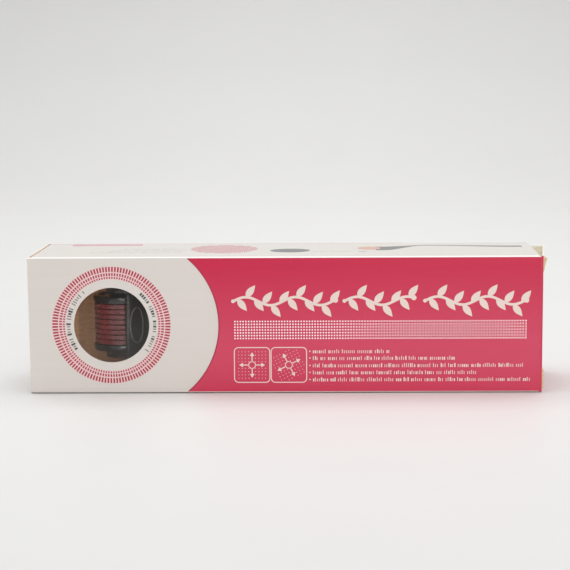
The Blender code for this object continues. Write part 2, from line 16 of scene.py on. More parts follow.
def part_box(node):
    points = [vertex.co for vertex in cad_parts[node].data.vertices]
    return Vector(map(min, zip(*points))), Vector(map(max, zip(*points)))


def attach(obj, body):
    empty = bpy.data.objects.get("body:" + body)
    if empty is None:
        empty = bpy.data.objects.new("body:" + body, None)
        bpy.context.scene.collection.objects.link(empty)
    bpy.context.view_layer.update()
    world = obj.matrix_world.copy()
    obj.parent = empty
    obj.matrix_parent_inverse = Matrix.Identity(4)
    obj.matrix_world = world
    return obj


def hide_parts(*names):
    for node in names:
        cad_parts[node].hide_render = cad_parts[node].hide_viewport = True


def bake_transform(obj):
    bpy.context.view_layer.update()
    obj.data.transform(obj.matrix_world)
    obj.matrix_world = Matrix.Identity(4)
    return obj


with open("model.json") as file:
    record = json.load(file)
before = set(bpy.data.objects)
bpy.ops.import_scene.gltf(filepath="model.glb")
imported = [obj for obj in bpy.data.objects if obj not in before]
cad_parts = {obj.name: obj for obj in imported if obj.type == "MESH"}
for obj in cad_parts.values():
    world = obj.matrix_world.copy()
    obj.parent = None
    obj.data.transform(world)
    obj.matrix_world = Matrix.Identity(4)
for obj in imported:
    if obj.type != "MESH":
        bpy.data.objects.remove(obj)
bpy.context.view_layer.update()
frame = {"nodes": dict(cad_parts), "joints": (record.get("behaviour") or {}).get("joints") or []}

MM = 0.001
JOINTS = {joint["name"]: joint for joint in frame["joints"]}

# The carton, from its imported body
BODY_LOW, BODY_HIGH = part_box("carton_body")
TUBE_HALF = BODY_HIGH.x
FRONT_Y, BACK_Y = BODY_LOW.y, BODY_HIGH.y
BOTTOM_Z, TOP_Z = BODY_LOW.z, BODY_HIGH.z
GLUE_LOW, GLUE_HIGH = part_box("glue_flap")
BOARD = GLUE_HIGH.z - GLUE_LOW.z
MID_Z = (BOTTOM_Z + TOP_Z) / 2
HALF_HEIGHT = (TOP_Z - BOTTOM_Z) / 2
CREASE_RADIUS = 0.60 * MM
DUST_CREASE_SETBACK = 0.66 * MM
FRONT_OVERHANG = 0.45 * MM
LEFT_PROUD_LOW = 0.95 * MM
LEFT_PROUD_HIGH = 1.15 * MM
LEFT_PROUD_REACH = 9.0 * MM
PANEL_BOW = {"front": 0.22 * MM, "top": 0.18 * MM, "back": 0.30 * MM, "bottom": 0.0}

FILM_LOW, FILM_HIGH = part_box("window_film")
WINDOW_CENTRE = (FILM_LOW + FILM_HIGH) / 2
WINDOW_RADIUS = 13.70 * MM

# Ink lies in layers on the skin: each has a height above it
FIRST_INK = 0.022 * MM
SECOND_INK = 0.044 * MM
THIRD_INK = 0.060 * MM
FOURTH_INK = 0.076 * MM
INK_THICKNESS = 0.016 * MM


# ------------------------------------------------------------------ materials

def set_inputs(tree, node, inputs):
    """Link or set a node's inputs, given as {name or index: socket or value}."""
    for key, value in inputs.items():
        if isinstance(value, bpy.types.NodeSocket):
            tree.links.new(value, node.inputs[key])
        else:
            node.inputs[key].default_value = value
    return node


def add_node(tree, kind, inputs, **settings):
    node = tree.nodes.new(kind)
    for key, value in settings.items():
        setattr(node, key, value)
    return set_inputs(tree, node, inputs)


def new_material(name):
    material = bpy.data.materials.new(name)
    material.use_nodes = True
    tree = material.node_tree
    return material, tree, tree.nodes["Principled BSDF"]


def place_socket(tree, scale=(1.0, 1.0, 1.0)):
    """Object coordinates, here metres in the part's frame, stretched by scale."""
    coordinates = add_node(tree, "ShaderNodeTexCoord", {})
    mapping = add_node(tree, "ShaderNodeMapping", {"Vector": coordinates.outputs["Object"], "Scale": scale})
    return mapping.outputs["Vector"]


def noise_socket(tree, size, detail=3.0, stretch=(1.0, 1.0, 1.0)):
    """Noise whose features are about size metres across."""
    return add_node(tree, "ShaderNodeTexNoise", {
        "Vector": place_socket(tree, stretch), "Scale": 1.0 / size, "Detail": detail,
    }).outputs["Fac"]


def ramp_socket(tree, value, low, high, out_low=0.0, out_high=1.0):
    node = add_node(tree, "ShaderNodeMapRange", {
        "Value": value, "From Min": low, "From Max": high, "To Min": out_low, "To Max": out_high,
    })
    return node.outputs["Result"]


def math_socket(tree, operation, first, second):
    return add_node(tree, "ShaderNodeMath", {0: first, 1: second}, operation=operation).outputs["Value"]


def total(tree, first, *others):
    for other in others:
        first = math_socket(tree, "ADD", first, other)
    return first


def mix_colour(tree, factor, first, second):
    """The Mix node's inputs 6 and 7 and output 2 are its colours."""
    return add_node(tree, "ShaderNodeMix", {0: factor, 6: first, 7: second}, data_type="RGBA").outputs[2]


def axis_socket(tree, axis):
    return add_node(tree, "ShaderNodeSeparateXYZ", {"Vector": place_socket(tree)}).outputs[axis]


def contrast(tree, value, first, second):
    """A colour that runs from first to second where a noise runs from 0.3 to 0.7."""
    return mix_colour(tree, ramp_socket(tree, value, 0.3, 0.7), first, second)


def shade(colour, factor):
    return tuple(min(1.0, channel * factor) for channel in colour) + (1.0,)


def bump_socket(tree, height, strength, distance):
    bump = add_node(tree, "ShaderNodeBump", {"Height": height, "Strength": strength, "Distance": distance})
    return bump.outputs["Normal"]


def edge_wear(tree, reach, cover):
    """A mask of scuffs near the carton's long creases, broken up by noise."""
    above_middle = math_socket(tree, "SUBTRACT", axis_socket(tree, "Z"), MID_Z)
    from_middle = math_socket(tree, "ABSOLUTE", above_middle, 0.0)
    near_crease = ramp_socket(tree, from_middle, HALF_HEIGHT - reach, HALF_HEIGHT)
    broken = math_socket(tree, "MULTIPLY", near_crease, noise_socket(tree, 1.1 * MM, 5.0))
    return ramp_socket(tree, broken, cover, cover + 0.12)


def coated_board(name, colour, streaks=0.02, wear=None, painted_sheen=None, varnish=0.30):
    """Varnished board or ink: soft mottling, faint streaks along X, a fibre bump and scuffs.

    The paler tone, if given, is a painted sheen standing in for the varnish's reflection of the room: it
    grows from the top edge to mid height and eases at the foot.
    """
    material, tree, shader = new_material(name)
    mottle = noise_socket(tree, 22 * MM, 4.0)
    streak = noise_socket(tree, 1.3 * MM, 3.0, (0.02, 1.0, 1.0))
    base = mix_colour(tree, mottle, shade(colour, 0.97), shade(colour, 1.03))
    bands = contrast(tree, streak, shade(colour, 1.0 - streaks), shade(colour, 1.0 + streaks))
    result = mix_colour(tree, 0.5, base, bands)
    # Painted sheen: a paler tone mixed in by height, standing in for the varnish reflecting the room,
    # strongest at mid height.
    if painted_sheen is not None:
        height = axis_socket(tree, "Z")
        from_top = ramp_socket(tree, height, 46 * MM, 20 * MM, 0.0, 0.33)
        near_foot = ramp_socket(tree, height, 12 * MM, 1 * MM, 1.0, 0.6)
        share = math_socket(tree, "MULTIPLY", from_top, near_foot)
        result = mix_colour(tree, share, result, shade(painted_sheen, 1.0))
    if wear is not None:
        result = mix_colour(tree, edge_wear(tree, 0.9 * MM, 0.56), result, shade(wear, 1.0))
    rub = noise_socket(tree, 7 * MM, 4.0)
    fibre = noise_socket(tree, 0.35 * MM, 2.0, (0.5, 1.0, 1.0))
    set_inputs(tree, shader, {
        "Base Color": result,
        "Roughness": ramp_socket(tree, rub, 0.2, 0.8, 0.35, 0.46),
        "Specular IOR Level": 0.30,
        "Coat Weight": varnish,
        "Coat Roughness": 0.16,
        "Normal": bump_socket(tree, fibre, 0.10, 0.02 * MM),
    })
    return material


def raw_board(name, colour, painted_glow=0.0):
    """Uncoated board: long fibres, dark and pale flecks, and a painted glow that stands in for light falling
    on it or shining through it.
    """
    material, tree, shader = new_material(name)
    fibres = noise_socket(tree, 0.9 * MM, 5.0, (0.25, 1.0, 1.0))
    flecks = noise_socket(tree, 0.30 * MM, 2.0)
    blotches = noise_socket(tree, 9 * MM, 3.0)
    base = contrast(tree, fibres, shade(colour, 0.82), shade(colour, 1.12))
    base = mix_colour(tree, ramp_socket(tree, blotches, 0.3, 0.7, 0.0, 0.35), base, shade(colour, 0.80))
    base = mix_colour(tree, ramp_socket(tree, flecks, 0.68, 0.74, 0.0, 0.6), base, shade(colour, 0.45))
    set_inputs(tree, shader, {
        "Base Color": base,
        "Roughness": 0.88,
        "Specular IOR Level": 0.25,
        # A painted glow: emission that stands in for light on the board.
        "Emission Color": base,
        "Emission Strength": painted_glow,
        "Normal": bump_socket(tree, fibres, 0.35, 0.05 * MM),
    })
    return material


def moulded_plastic(name, colour, roughness):
    """Glossy moulded plastic with faint flow marks and handling smears."""
    material, tree, shader = new_material(name)
    flow = noise_socket(tree, 4 * MM, 4.0, (0.4, 1.0, 1.0))
    smears = noise_socket(tree, 2.2 * MM, 5.0)
    set_inputs(tree, shader, {
        "Base Color": contrast(tree, flow, shade(colour, 0.85), shade(colour, 1.15)),
        "Roughness": ramp_socket(tree, smears, 0.35, 0.75, roughness, roughness + 0.14),
        "Coat Weight": 0.35,
        "Coat Roughness": 0.08,
        "Normal": bump_socket(tree, flow, 0.06, 0.05 * MM),
    })
    return material


def drawn_steel(name, colour):
    material, tree, shader = new_material(name)
    drawn = noise_socket(tree, 0.25 * MM, 3.0, (1.0, 1.0, 0.05))
    set_inputs(tree, shader, {
        "Base Color": mix_colour(tree, drawn, shade(colour, 0.85), shade(colour, 1.1)),
        "Roughness": ramp_socket(tree, drawn, 0.2, 0.8, 0.16, 0.34),
        "Metallic": 1.0,
        "Normal": bump_socket(tree, drawn, 0.08, 0.01 * MM),
    })
    return material


def clear_plastic(name, tint, roughness, ripple, veil):
    """A thin clear sheet: it shows what is behind it, under a veil and a grazing gloss.

    The veil is a painted reflection: a faint glow that stands in for the sheet's dim reflection of the room,
    from its weakest to its strongest, which grows towards +X and down.
    """
    material, tree, shader = new_material(name)
    tree.nodes.remove(shader)
    output = tree.nodes["Material Output"]
    waves = noise_socket(tree, 9 * MM, 3.0)
    normal = bump_socket(tree, waves, ripple, 0.4 * MM)
    through = add_node(tree, "ShaderNodeBsdfTransparent", {"Color": tint})
    rightward = ramp_socket(tree, axis_socket(tree, "X"), -76 * MM, -50 * MM, 0.0, 0.55)
    downward = ramp_socket(tree, axis_socket(tree, "Z"), 38 * MM, 12 * MM, 0.0, 0.55)
    patchy = ramp_socket(tree, waves, 0.3, 0.7, -0.15, 0.15)
    strength = ramp_socket(tree, total(tree, rightward, downward, patchy), 0.1, 1.0, *veil)
    # Painted reflection: a faint glow, stronger towards +X and down, for the room's reflection in the sheet.
    painted_glow = add_node(tree, "ShaderNodeEmission", {"Color": (1.0, 0.97, 0.92, 1.0), "Strength": strength})
    veiled = add_node(tree, "ShaderNodeAddShader", {0: through.outputs[0], 1: painted_glow.outputs[0]})
    gloss = add_node(tree, "ShaderNodeBsdfGlossy", {"Roughness": roughness, "Normal": normal})
    angle = add_node(tree, "ShaderNodeLayerWeight", {"Blend": 0.5, "Normal": normal})
    grazing = math_socket(tree, "POWER", angle.outputs["Facing"], 4.0)
    both = add_node(tree, "ShaderNodeMixShader", {
        0: math_socket(tree, "MULTIPLY", grazing, 0.8), 1: veiled.outputs[0], 2: gloss.outputs[0],
    })
    tree.links.new(both.outputs[0], output.inputs["Surface"])
    return material


PINK = (0.585, 0.022, 0.072)
# The field's pink under its painted sheen, then the paler tone of that sheen.
PINK_UNDER_SHEEN = (0.565, 0.006, 0.054)
WORN_PINK = (0.86, 0.62, 0.62)
PAINTED_SHEEN_PINK = (0.70, 0.13, 0.21)

COATED_WHITE = coated_board("coated_white", (0.70, 0.65, 0.61))
# A white paler than the board, painted over the front's top crease as its highlight.
FOLD_HIGHLIGHT_WHITE = coated_board("painted_fold_highlight", (0.90, 0.86, 0.84))
LID_PINK = coated_board("lid_pink", PINK, streaks=0.06)
# The pink prints carry a painted sheen that is paler towards mid height.
PINK_INK = coated_board("pink_ink", PINK_UNDER_SHEEN, streaks=0.06, wear=WORN_PINK, painted_sheen=PAINTED_SHEEN_PINK)
DEEP_PINK_INK = coated_board("deep_pink_ink", (0.40, 0.020, 0.055))
TOP_PINK_INK = coated_board("top_pink_ink", (0.66, 0.10, 0.17), varnish=1.0)
# The top's pink tab: partly its own pale ink and partly a painted sheen for the grazing gloss on the top
# panel.
PALE_PINK_INK_AND_SHEEN = coated_board("pale_pink_ink_and_sheen", (0.72, 0.26, 0.32), varnish=1.0)
CREAM_INK = coated_board("cream_ink", (0.80, 0.66, 0.60))
DOT_INK = coated_board("dot_ink", (0.98, 0.84, 0.87))
GREY_INK = coated_board("grey_ink", (0.16, 0.15, 0.16))
PALE_GREY_INK = coated_board("pale_grey_ink", (0.42, 0.41, 0.42))
CAPTION_INK = coated_board("caption_ink", (0.07, 0.066, 0.07))
RING_INK = coated_board("ring_ink", (0.38, 0.036, 0.062))
RING_TINT = coated_board("ring_tint", (0.84, 0.58, 0.58))
ORANGE_INK = coated_board("orange_ink", (0.64, 0.36, 0.28))
RAW_BOARD = raw_board("raw_board", (0.62, 0.50, 0.33))
INSIDE_BOARD = raw_board("inside_board", (0.93, 0.60, 0.36))
# Painted light: the lid's inner face is a paler cream than the tube's inside and glows, standing in for the
# light that falls on it.
LID_INSIDE_PAINTED_LIGHT = raw_board("lid_inside_painted_light", (0.95, 0.87, 0.72), painted_glow=0.18)
TORN_BOARD = raw_board("torn_board", (0.72, 0.55, 0.37))
CUT_EDGE = raw_board("cut_edge", (0.88, 0.82, 0.74))
GLOSS_BLACK = moulded_plastic("gloss_black", (0.012, 0.012, 0.013), 0.16)
# A grey paler than the black moulding: a painted highlight along the beads on the hood.
BEAD_HIGHLIGHT_GREY = moulded_plastic("bead_highlight_grey", (0.085, 0.085, 0.082), 0.30)
DISC_RED = moulded_plastic("disc_red", (0.14, 0.014, 0.017), 0.24)
STEEL = drawn_steel("steel", (0.62, 0.61, 0.60))
CLEAR_FILM = clear_plastic("clear_film", (0.97, 0.96, 0.95, 1.0), 0.30, 0.05, (0.005, 0.022))
CLEAR_SHEET = clear_plastic("clear_sheet", (0.97, 0.97, 0.97, 1.0), 0.15, 0.25, (0.002, 0.003))
BOARD_SLOTS = (COATED_WHITE, INSIDE_BOARD, CUT_EDGE)


# ---------------------------------------------------------------- mesh helpers

def finish_mesh(name, bm, materials, smooth_angle=radians(35.0)):
    bmesh.ops.recalc_face_normals(bm, faces=bm.faces)
    mesh = bpy.data.meshes.new(name)
    bm.to_mesh(mesh)
    bm.free()
    for material in materials:
        mesh.materials.append(material)
    mesh.shade_smooth()
    mesh.set_sharp_from_angle(angle=smooth_angle)
    obj = bpy.data.objects.new(name, mesh)
    bpy.context.scene.collection.objects.link(obj)
    return obj


def place(piece, body, node=None):
    """Say what a piece moves with and which node it stands for."""
    if body:
        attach(piece, body)
    if node:
        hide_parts(node)


def bake_modifiers(obj):
    """Replace an object's mesh by its evaluated one, so that no modifier is left."""
    bpy.context.view_layer.update()
    graph = bpy.context.evaluated_depsgraph_get()
    mesh = bpy.data.meshes.new_from_object(obj.evaluated_get(graph))
    obj.modifiers.clear()
    obj.data = mesh
    return obj


def remove_object(obj):
    bpy.data.objects.remove(obj, do_unlink=True)


def add_rows(bm, rows, slot=0, wrap=True):
    """Skin rows of points, already made into vertices, with quads."""
    for near, far in zip(rows, rows[1:]):
        count = len(near)
        for k in range(count if wrap else count - 1):
            following = (k + 1) % count
            face = bm.faces.new((near[k], near[following], far[following], far[k]))
            face.material_index = slot


def make_row(bm, points):
    return [bm.verts.new(point) for point in points]


def loft_mesh(rings, closed=False):
    bm = bmesh.new()
    rows = [make_row(bm, ring) for ring in rings]
    add_rows(bm, rows + rows[:1] if closed else rows)
    if not closed:
        bm.faces.new(rows[0])
        bm.faces.new(rows[-1])
    return bm


def arc(centre, radius, start, end, steps):
    points = []
    for k in range(steps + 1):
        angle = start + (end - start) * k / steps
        points.append((centre[0] + radius * cos(angle), centre[1] + radius * sin(angle)))
    return points


def circle(centre, radius, steps):
    return arc(centre, radius, 0.0, 2 * pi, steps)[:-1]


def even(start, end, steps):
    return [start + (end - start) * k / steps for k in range(steps + 1)]


def between(start, end, share):
    return start + (end - start) * share


def unit(angle):
    return Vector((cos(angle), sin(angle)))


def left_of(direction):
    return Vector((-direction.y, direction.x))


def rim_indices(rows, columns):
    """(row, column) round the rim of a grid of points."""
    indices = [(0, k) for k in range(columns)]
    indices += [(k, columns - 1) for k in range(1, rows)]
    indices += [(rows - 1, k) for k in range(columns - 2, -1, -1)]
    return indices + [(k, 0) for k in range(rows - 2, 0, -1)]


def add_sheet(bm, layers, slots=(0, 0, 0)):
    """Close two grids of vertices, one above the other, into a thin sheet."""
    for grid, slot in zip(layers, slots):
        add_rows(bm, grid, slot, wrap=False)
    rim = rim_indices(len(layers[0]), len(layers[0][0]))
    add_rows(bm, [[grid[i][j] for i, j in rim] for grid in layers], slots[2])


def smooth_step(t):
    t = min(max(t, 0.0), 1.0)
    return t * t * (3.0 - 2.0 * t)


# ----------------------------------------------------------------- carton skin
# A side is a panel of the carton: where it starts (y, z), which way it runs round the
# tube, its outward normal and its length. t is the distance from its first crease.

def make_sides():
    r = CREASE_RADIUS
    depth = BACK_Y - FRONT_Y - 2 * r
    height = TOP_Z - BOTTOM_Z - 2 * r
    return {
        "front": (Vector((FRONT_Y, BOTTOM_Z + r)), Vector((0, 1)), Vector((-1, 0)), height),
        "top": (Vector((FRONT_Y + r, TOP_Z)), Vector((1, 0)), Vector((0, 1)), depth),
        "back": (Vector((BACK_Y, TOP_Z - r)), Vector((0, -1)), Vector((1, 0)), height),
        "bottom": (Vector((BACK_Y - r, BOTTOM_Z)), Vector((-1, 0)), Vector((0, -1)), depth),
    }


SIDES = make_sides()


def bow(side, x, t):
    """How far a panel bulges: most at its middle, nothing at its creases."""
    along = max(0.0, 1.0 - (x / TUBE_HALF) ** 4)
    ripple = 1.0 + 0.5 * noise.noise(Vector((x / (38 * MM), t / (30 * MM), len(side))))
    return PANEL_BOW[side] * sin(pi * t / SIDES[side][3]) * along * ripple


def skin_point(side, x, t, lift=0.0):
    """A point on the carton's skin; before 0 and past the side's length, t rounds a crease."""
    start, direction, normal, length = SIDES[side]
    over = max(0.0, t - length) - max(0.0, -t)
    if over:
        corner = start + direction * (length if over > 0 else 0.0) - normal * CREASE_RADIUS
        angle = over / CREASE_RADIUS
        point = corner + (normal * cos(angle) + direction * sin(angle)) * (CREASE_RADIUS + lift)
    else:
        point = start + direction * t + normal * (bow(side, x, t) + lift)
    return Vector((x, point.x, point.y))


def across(side, value):
    """t for a world z on the front or back, or a world y on the top or bottom."""
    start, direction = SIDES[side][:2]
    axis = 0 if direction.x else 1
    return (value - start[axis]) * direction[axis]


def ring_places():
    """(side, t, share of the dust flaps' setback) all round the carton's section."""
    places = []
    for side, (_, _, _, length) in SIDES.items():
        set_back = side in ("top", "bottom")
        places += [(side, t, float(set_back)) for t in even(0.0, length, 18)[:-1]]
        for share in even(0.0, 1.0, 4)[:-1]:
            places.append((side, length + CREASE_RADIUS * share * pi / 2, 1.0 - share if set_back else share))
    return places


def proud_left_end(point):
    """The carton's left end bulges towards its front, where the tuck pushes it out."""
    forward = min(1.0, max(0.0, (BACK_Y - point.y) / (BACK_Y - FRONT_Y)))
    proud = between(LEFT_PROUD_LOW, LEFT_PROUD_HIGH, smooth_step((point.z - BOTTOM_Z) / (TOP_Z - BOTTOM_Z)))
    inward = min(1.0, max(0.0, point.x + TUBE_HALF) / LEFT_PROUD_REACH)
    point.x -= proud * forward ** 2 * (1.0 - inward)
    return point


def build_carton_body():
    places = ring_places()
    stations = even(-1.0, 1.0, 72)
    bm = bmesh.new()

    def row(share, lift):
        points = []
        for side, t, setback in places:
            x = share * (TUBE_HALF - DUST_CREASE_SETBACK * setback)
            if side == "front" and x < 0.0:
                x *= 1.0 + FRONT_OVERHANG / TUBE_HALF
            points.append(proud_left_end(skin_point(side, x, t, lift)))
        return make_row(bm, points)

    outer, inner = ([row(share, lift) for share in stations] for lift in (0.0, -BOARD))
    add_rows(bm, outer, 0)
    add_rows(bm, inner, 1)
    for end in (0, -1):
        add_rows(bm, [outer[end], inner[end]], 2)
    carton = finish_mesh("carton_board", bm, BOARD_SLOTS)

    rim = circle((WINDOW_CENTRE.x, WINDOW_CENTRE.z), WINDOW_RADIUS, 128)
    rings = [[Vector((x, FRONT_Y + depth, z)) for x, z in rim] for depth in (-2 * MM, 2 * MM)]
    cutter = finish_mesh("window_cutter", loft_mesh(rings), (CUT_EDGE,))
    cut = carton.modifiers.new("window", "BOOLEAN")
    cut.operation = "DIFFERENCE"
    cut.solver = "EXACT"
    cut.material_mode = "TRANSFER"
    cut.object = cutter
    bake_modifiers(carton)
    remove_object(cutter)
    carton.data.set_sharp_from_angle(angle=radians(35.0))
    place(carton, "carton", "carton_body")


# ------------------------------------------------------------------------- ink

class Ink:
    """One ink piece: closed, very thin shapes laid on a panel of the carton.

    It is used in a with block, at whose end the piece is made.
    """

    def __init__(self, name, side, material, level=FIRST_INK):
        self.name, self.side, self.material, self.level = name, side, material, level
        self.bm = bmesh.new()

    def point(self, x, value, lift):
        return proud_left_end(skin_point(self.side, x, across(self.side, value), lift))

    def layers(self, rows):
        """Rows of (x, z) or (x, y) points, as vertices of the ink's outer and inner face."""
        lifts = (self.level, self.level - INK_THICKNESS)
        return [[make_row(self.bm, [self.point(x, value, lift) for x, value in row]) for row in rows]
                for lift in lifts]

    def shape(self, outline):
        """A small flat shape."""
        (outer,), (inner,) = self.layers([outline])
        self.bm.faces.new(outer)
        self.bm.faces.new(inner)
        add_rows(self.bm, [outer, inner])

    def band(self, rows):
        """A shape that follows the panel's bow: rows of points, all of one length."""
        add_sheet(self.bm, self.layers(rows))

    def disc(self, x, value, radius, steps=8):
        self.shape(circle((x, value), radius, steps))

    def stroke(self, points, width, closed=False):
        """A line of even width along points."""
        left, right = [], []
        count = len(points)
        for k, (x, value) in enumerate(points):
            before = points[(k - 1) % count] if closed or k else points[k]
            after = points[(k + 1) % count] if closed or k + 1 < count else points[k]
            off = left_of(Vector(after) - Vector(before)).normalized() * width / 2
            left.append((x + off.x, value + off.y))
            right.append((x - off.x, value - off.y))
        if closed:
            outer, inner = self.layers([left, right])
            add_rows(self.bm, [outer[0], outer[1], inner[1], inner[0], outer[0]])
        else:
            self.band([left, right])

    def bar(self, x_low, x_high, low, high):
        self.shape([(x_low, low), (x_high, low), (x_high, high), (x_low, high)])

    def __enter__(self):
        return self

    def __exit__(self, *error):
        place(finish_mesh(self.name, self.bm, (self.material,)), "carton")


def grid_rows(x_low, x_high, first, last, columns, rows):
    """Rows of points for a rectangular band, from first to last up or across a panel."""
    return [[(x, value) for x in even(x_low, x_high, columns)] for value in even(first, last, rows)]


# The front's print, measured from the carton's middle and its foot
FIELD_ARC_CENTRE_X = -56.6 * MM
FIELD_ARC_RADIUS = 32.1 * MM
OUTLINE_WIDTH = 0.45 * MM
RING_MARKS = 120
RINGS = (
    (19.5 * MM, 21.35 * MM, 0.60 * MM),
    (18.05 * MM, 19.05 * MM, 0.56 * MM),
    (17.0 * MM, 17.7 * MM, 0.50 * MM),
)
CAPTION_RADIUS = 15.65 * MM
CAPTION_PITCH = 0.95 * MM
CAPTION_ARCS = ((radians(215), radians(128)), (radians(48), radians(-38)))
PRINT_LEFT = -19.0 * MM
PRINT_RIGHT = 87.3 * MM
BAND_LOW, BAND_HIGH = 19.97 * MM, 26.2 * MM
BAND_PITCH = 1.0 * MM
BAND_ROWS = 7
BAND_DOT = 0.31 * MM
TITLE_MIDDLE = 33.6 * MM
TITLE_WORDS = ((-19.0 * MM, 17.6 * MM), (21.2 * MM, 45.8 * MM), (50.2 * MM, 86.3 * MM))
STEM_WAVE, STEM_RISE = 18.0 * MM, 1.5 * MM
LEAF_PITCH, LEAF_LENGTH, LEAF_WIDTH = 3.1 * MM, 5.5 * MM, 2.5 * MM
ICON_SIZE = 12.85 * MM
ICON_MIDDLE_Z = 10.2 * MM
ICONS = ((-12.4 * MM, 0.0), (0.95 * MM, radians(27.0)))
ICON_DOT_PITCH = 1.22 * MM
TICK_PITCH = 0.72 * MM
# Lines of text, in millimetres: a height or depth, then where the line ends or runs
LINE_LEFT = 8.25
LINE_HEIGHT = 1.45
TEXT_LINES = ((15.2, 38.3), (12.7, 61.8), (10.0, 86.5), (7.4, 69.4), (4.8, 88.6))


def arc_edge(z):
    """Where the pink field's rounded left edge lies at a height."""
    rise = z - WINDOW_CENTRE.z
    return FIELD_ARC_CENTRE_X + sqrt(max(0.0, FIELD_ARC_RADIUS ** 2 - rise ** 2))


def build_pink_field():
    low = BOTTOM_Z - 0.2 * CREASE_RADIUS
    high = TOP_Z - 0.75 * CREASE_RADIUS
    edges = [(z, arc_edge(max(z, BOTTOM_Z))) for z in even(low, high, 84)]
    with Ink("pink_field", "front", PINK_INK) as field:
        field.band([[(x, z) for x in even(edge, TUBE_HALF, 72)] for z, edge in edges])
    heights = even(BOTTOM_Z + CREASE_RADIUS, TOP_Z - CREASE_RADIUS, 84)
    with Ink("field_outline", "front", DEEP_PINK_INK, SECOND_INK) as outline:
        outline.stroke([(arc_edge(z) + OUTLINE_WIDTH / 2, z) for z in heights], OUTLINE_WIDTH)


def build_fold_line():
    """A painted highlight: a pale band over the rounded crease along the front panel's top edge."""
    left, right = -TUBE_HALF - FRONT_OVERHANG, TUBE_HALF - DUST_CREASE_SETBACK
    low, high = TOP_Z - 0.65 * CREASE_RADIUS, TOP_Z + 0.35 * CREASE_RADIUS
    with Ink("front_top_fold_highlight", "front", FOLD_HIGHLIGHT_WHITE, SECOND_INK) as line:
        line.band(grid_rows(left, right, low, high, 96, 5))


def build_window_rings():
    """Three rings of radial marks on one tinted ring."""
    centre = WINDOW_CENTRE.xz
    outermost, innermost = RINGS[0][1], RINGS[-1][0]
    with Ink("window_ring_tint", "front", RING_TINT) as tint:
        middle = circle(centre, (outermost + innermost) / 2, 120)
        tint.stroke(middle, outermost - innermost + 0.3 * MM, closed=True)
    for index, (inner, outer, width) in enumerate(RINGS):
        with Ink(f"window_ring_{index + 1}", "front", RING_INK, SECOND_INK) as marks:
            for k in range(RING_MARKS):
                out = unit(2 * pi * (k + 0.5) / RING_MARKS)
                side = left_of(out) * width / 2
                near, far = centre + out * inner, centre + out * outer
                marks.shape([near - side, far - side, far + side, near + side])


def build_caption_marks():
    """Plain radial ticks on two arcs beside the window, in place of its small captions."""
    draw = Random(11)
    with Ink("window_caption_ticks", "front", CAPTION_INK) as marks:
        for start, end in CAPTION_ARCS:
            count = round(abs(end - start) * CAPTION_RADIUS / CAPTION_PITCH)
            for k in range(count):
                if k % 6 == 5:
                    continue
                angle = between(start, end, (k + 0.5) / count)
                reach = draw.choice((0.56, 0.56, 0.80)) * MM
                half = draw.choice((0.15, 0.15, 0.34)) * MM / CAPTION_RADIUS
                outer = arc(WINDOW_CENTRE.xz, CAPTION_RADIUS + reach, angle - half, angle + half, 2)
                inner = arc(WINDOW_CENTRE.xz, CAPTION_RADIUS - reach, angle + half, angle - half, 2)
                marks.shape(outer + inner)


def leaf_outline(root, angle):
    """A pointed leaf that starts at a point and grows along an angle."""
    along = unit(angle) * LEAF_LENGTH
    side = left_of(unit(angle)) * LEAF_WIDTH / 2
    there = [(share, side) for share in even(0.0, 1.0, 8)]
    back = [(share, -side) for share in even(1.0, 0.0, 8)[1:-1]]
    return [root + along * share + edge * sin(pi * share ** 0.8) for share, edge in there + back]


def build_title_garland():
    """Three sprigs of leaves in place of the three words of the title."""
    sprigs = Ink("title_stems", "front", CREAM_INK, SECOND_INK)
    leaves = Ink("title_leaves", "front", CREAM_INK, THIRD_INK)
    berries = Ink("title_berries", "front", CREAM_INK, FOURTH_INK)
    with sprigs, leaves, berries:
        for low, high in TITLE_WORDS:
            def on_stem(x):
                return Vector((x, TITLE_MIDDLE + STEM_RISE * sin(2 * pi * (x - low) / STEM_WAVE)))

            stem = [on_stem(x) for x in even(low, high, 40)]
            sprigs.stroke(stem, 0.95 * MM)
            count = round((high - low) / LEAF_PITCH)
            for k in range(count):
                lean = radians(52.0) if k % 2 else radians(-52.0)
                leaves.shape(leaf_outline(on_stem(between(low, high, (k + 0.5) / count)), lean))
            berries.disc(high + 0.3 * MM, stem[-1].y, 0.95 * MM, 16)
            berries.disc(low - 0.1 * MM, stem[0].y, 0.7 * MM, 16)


def build_dot_band():
    columns = round((PRINT_RIGHT - PRINT_LEFT) / BAND_PITCH)
    with Ink("dot_band", "front", DOT_INK, SECOND_INK) as band:
        for z in even(BAND_LOW, BAND_HIGH, BAND_ROWS - 1):
            for column in range(columns):
                band.disc(PRINT_LEFT + (column + 0.5) * BAND_PITCH, z, BAND_DOT)


def rounded_square(x, z, half, radius):
    points = []
    for k, (sx, sz) in enumerate(((1, 1), (-1, 1), (-1, -1), (1, -1))):
        corner = (x + sx * (half - radius), z + sz * (half - radius))
        points += arc(corner, radius, k * pi / 2, (k + 1) * pi / 2, 6)
    return points


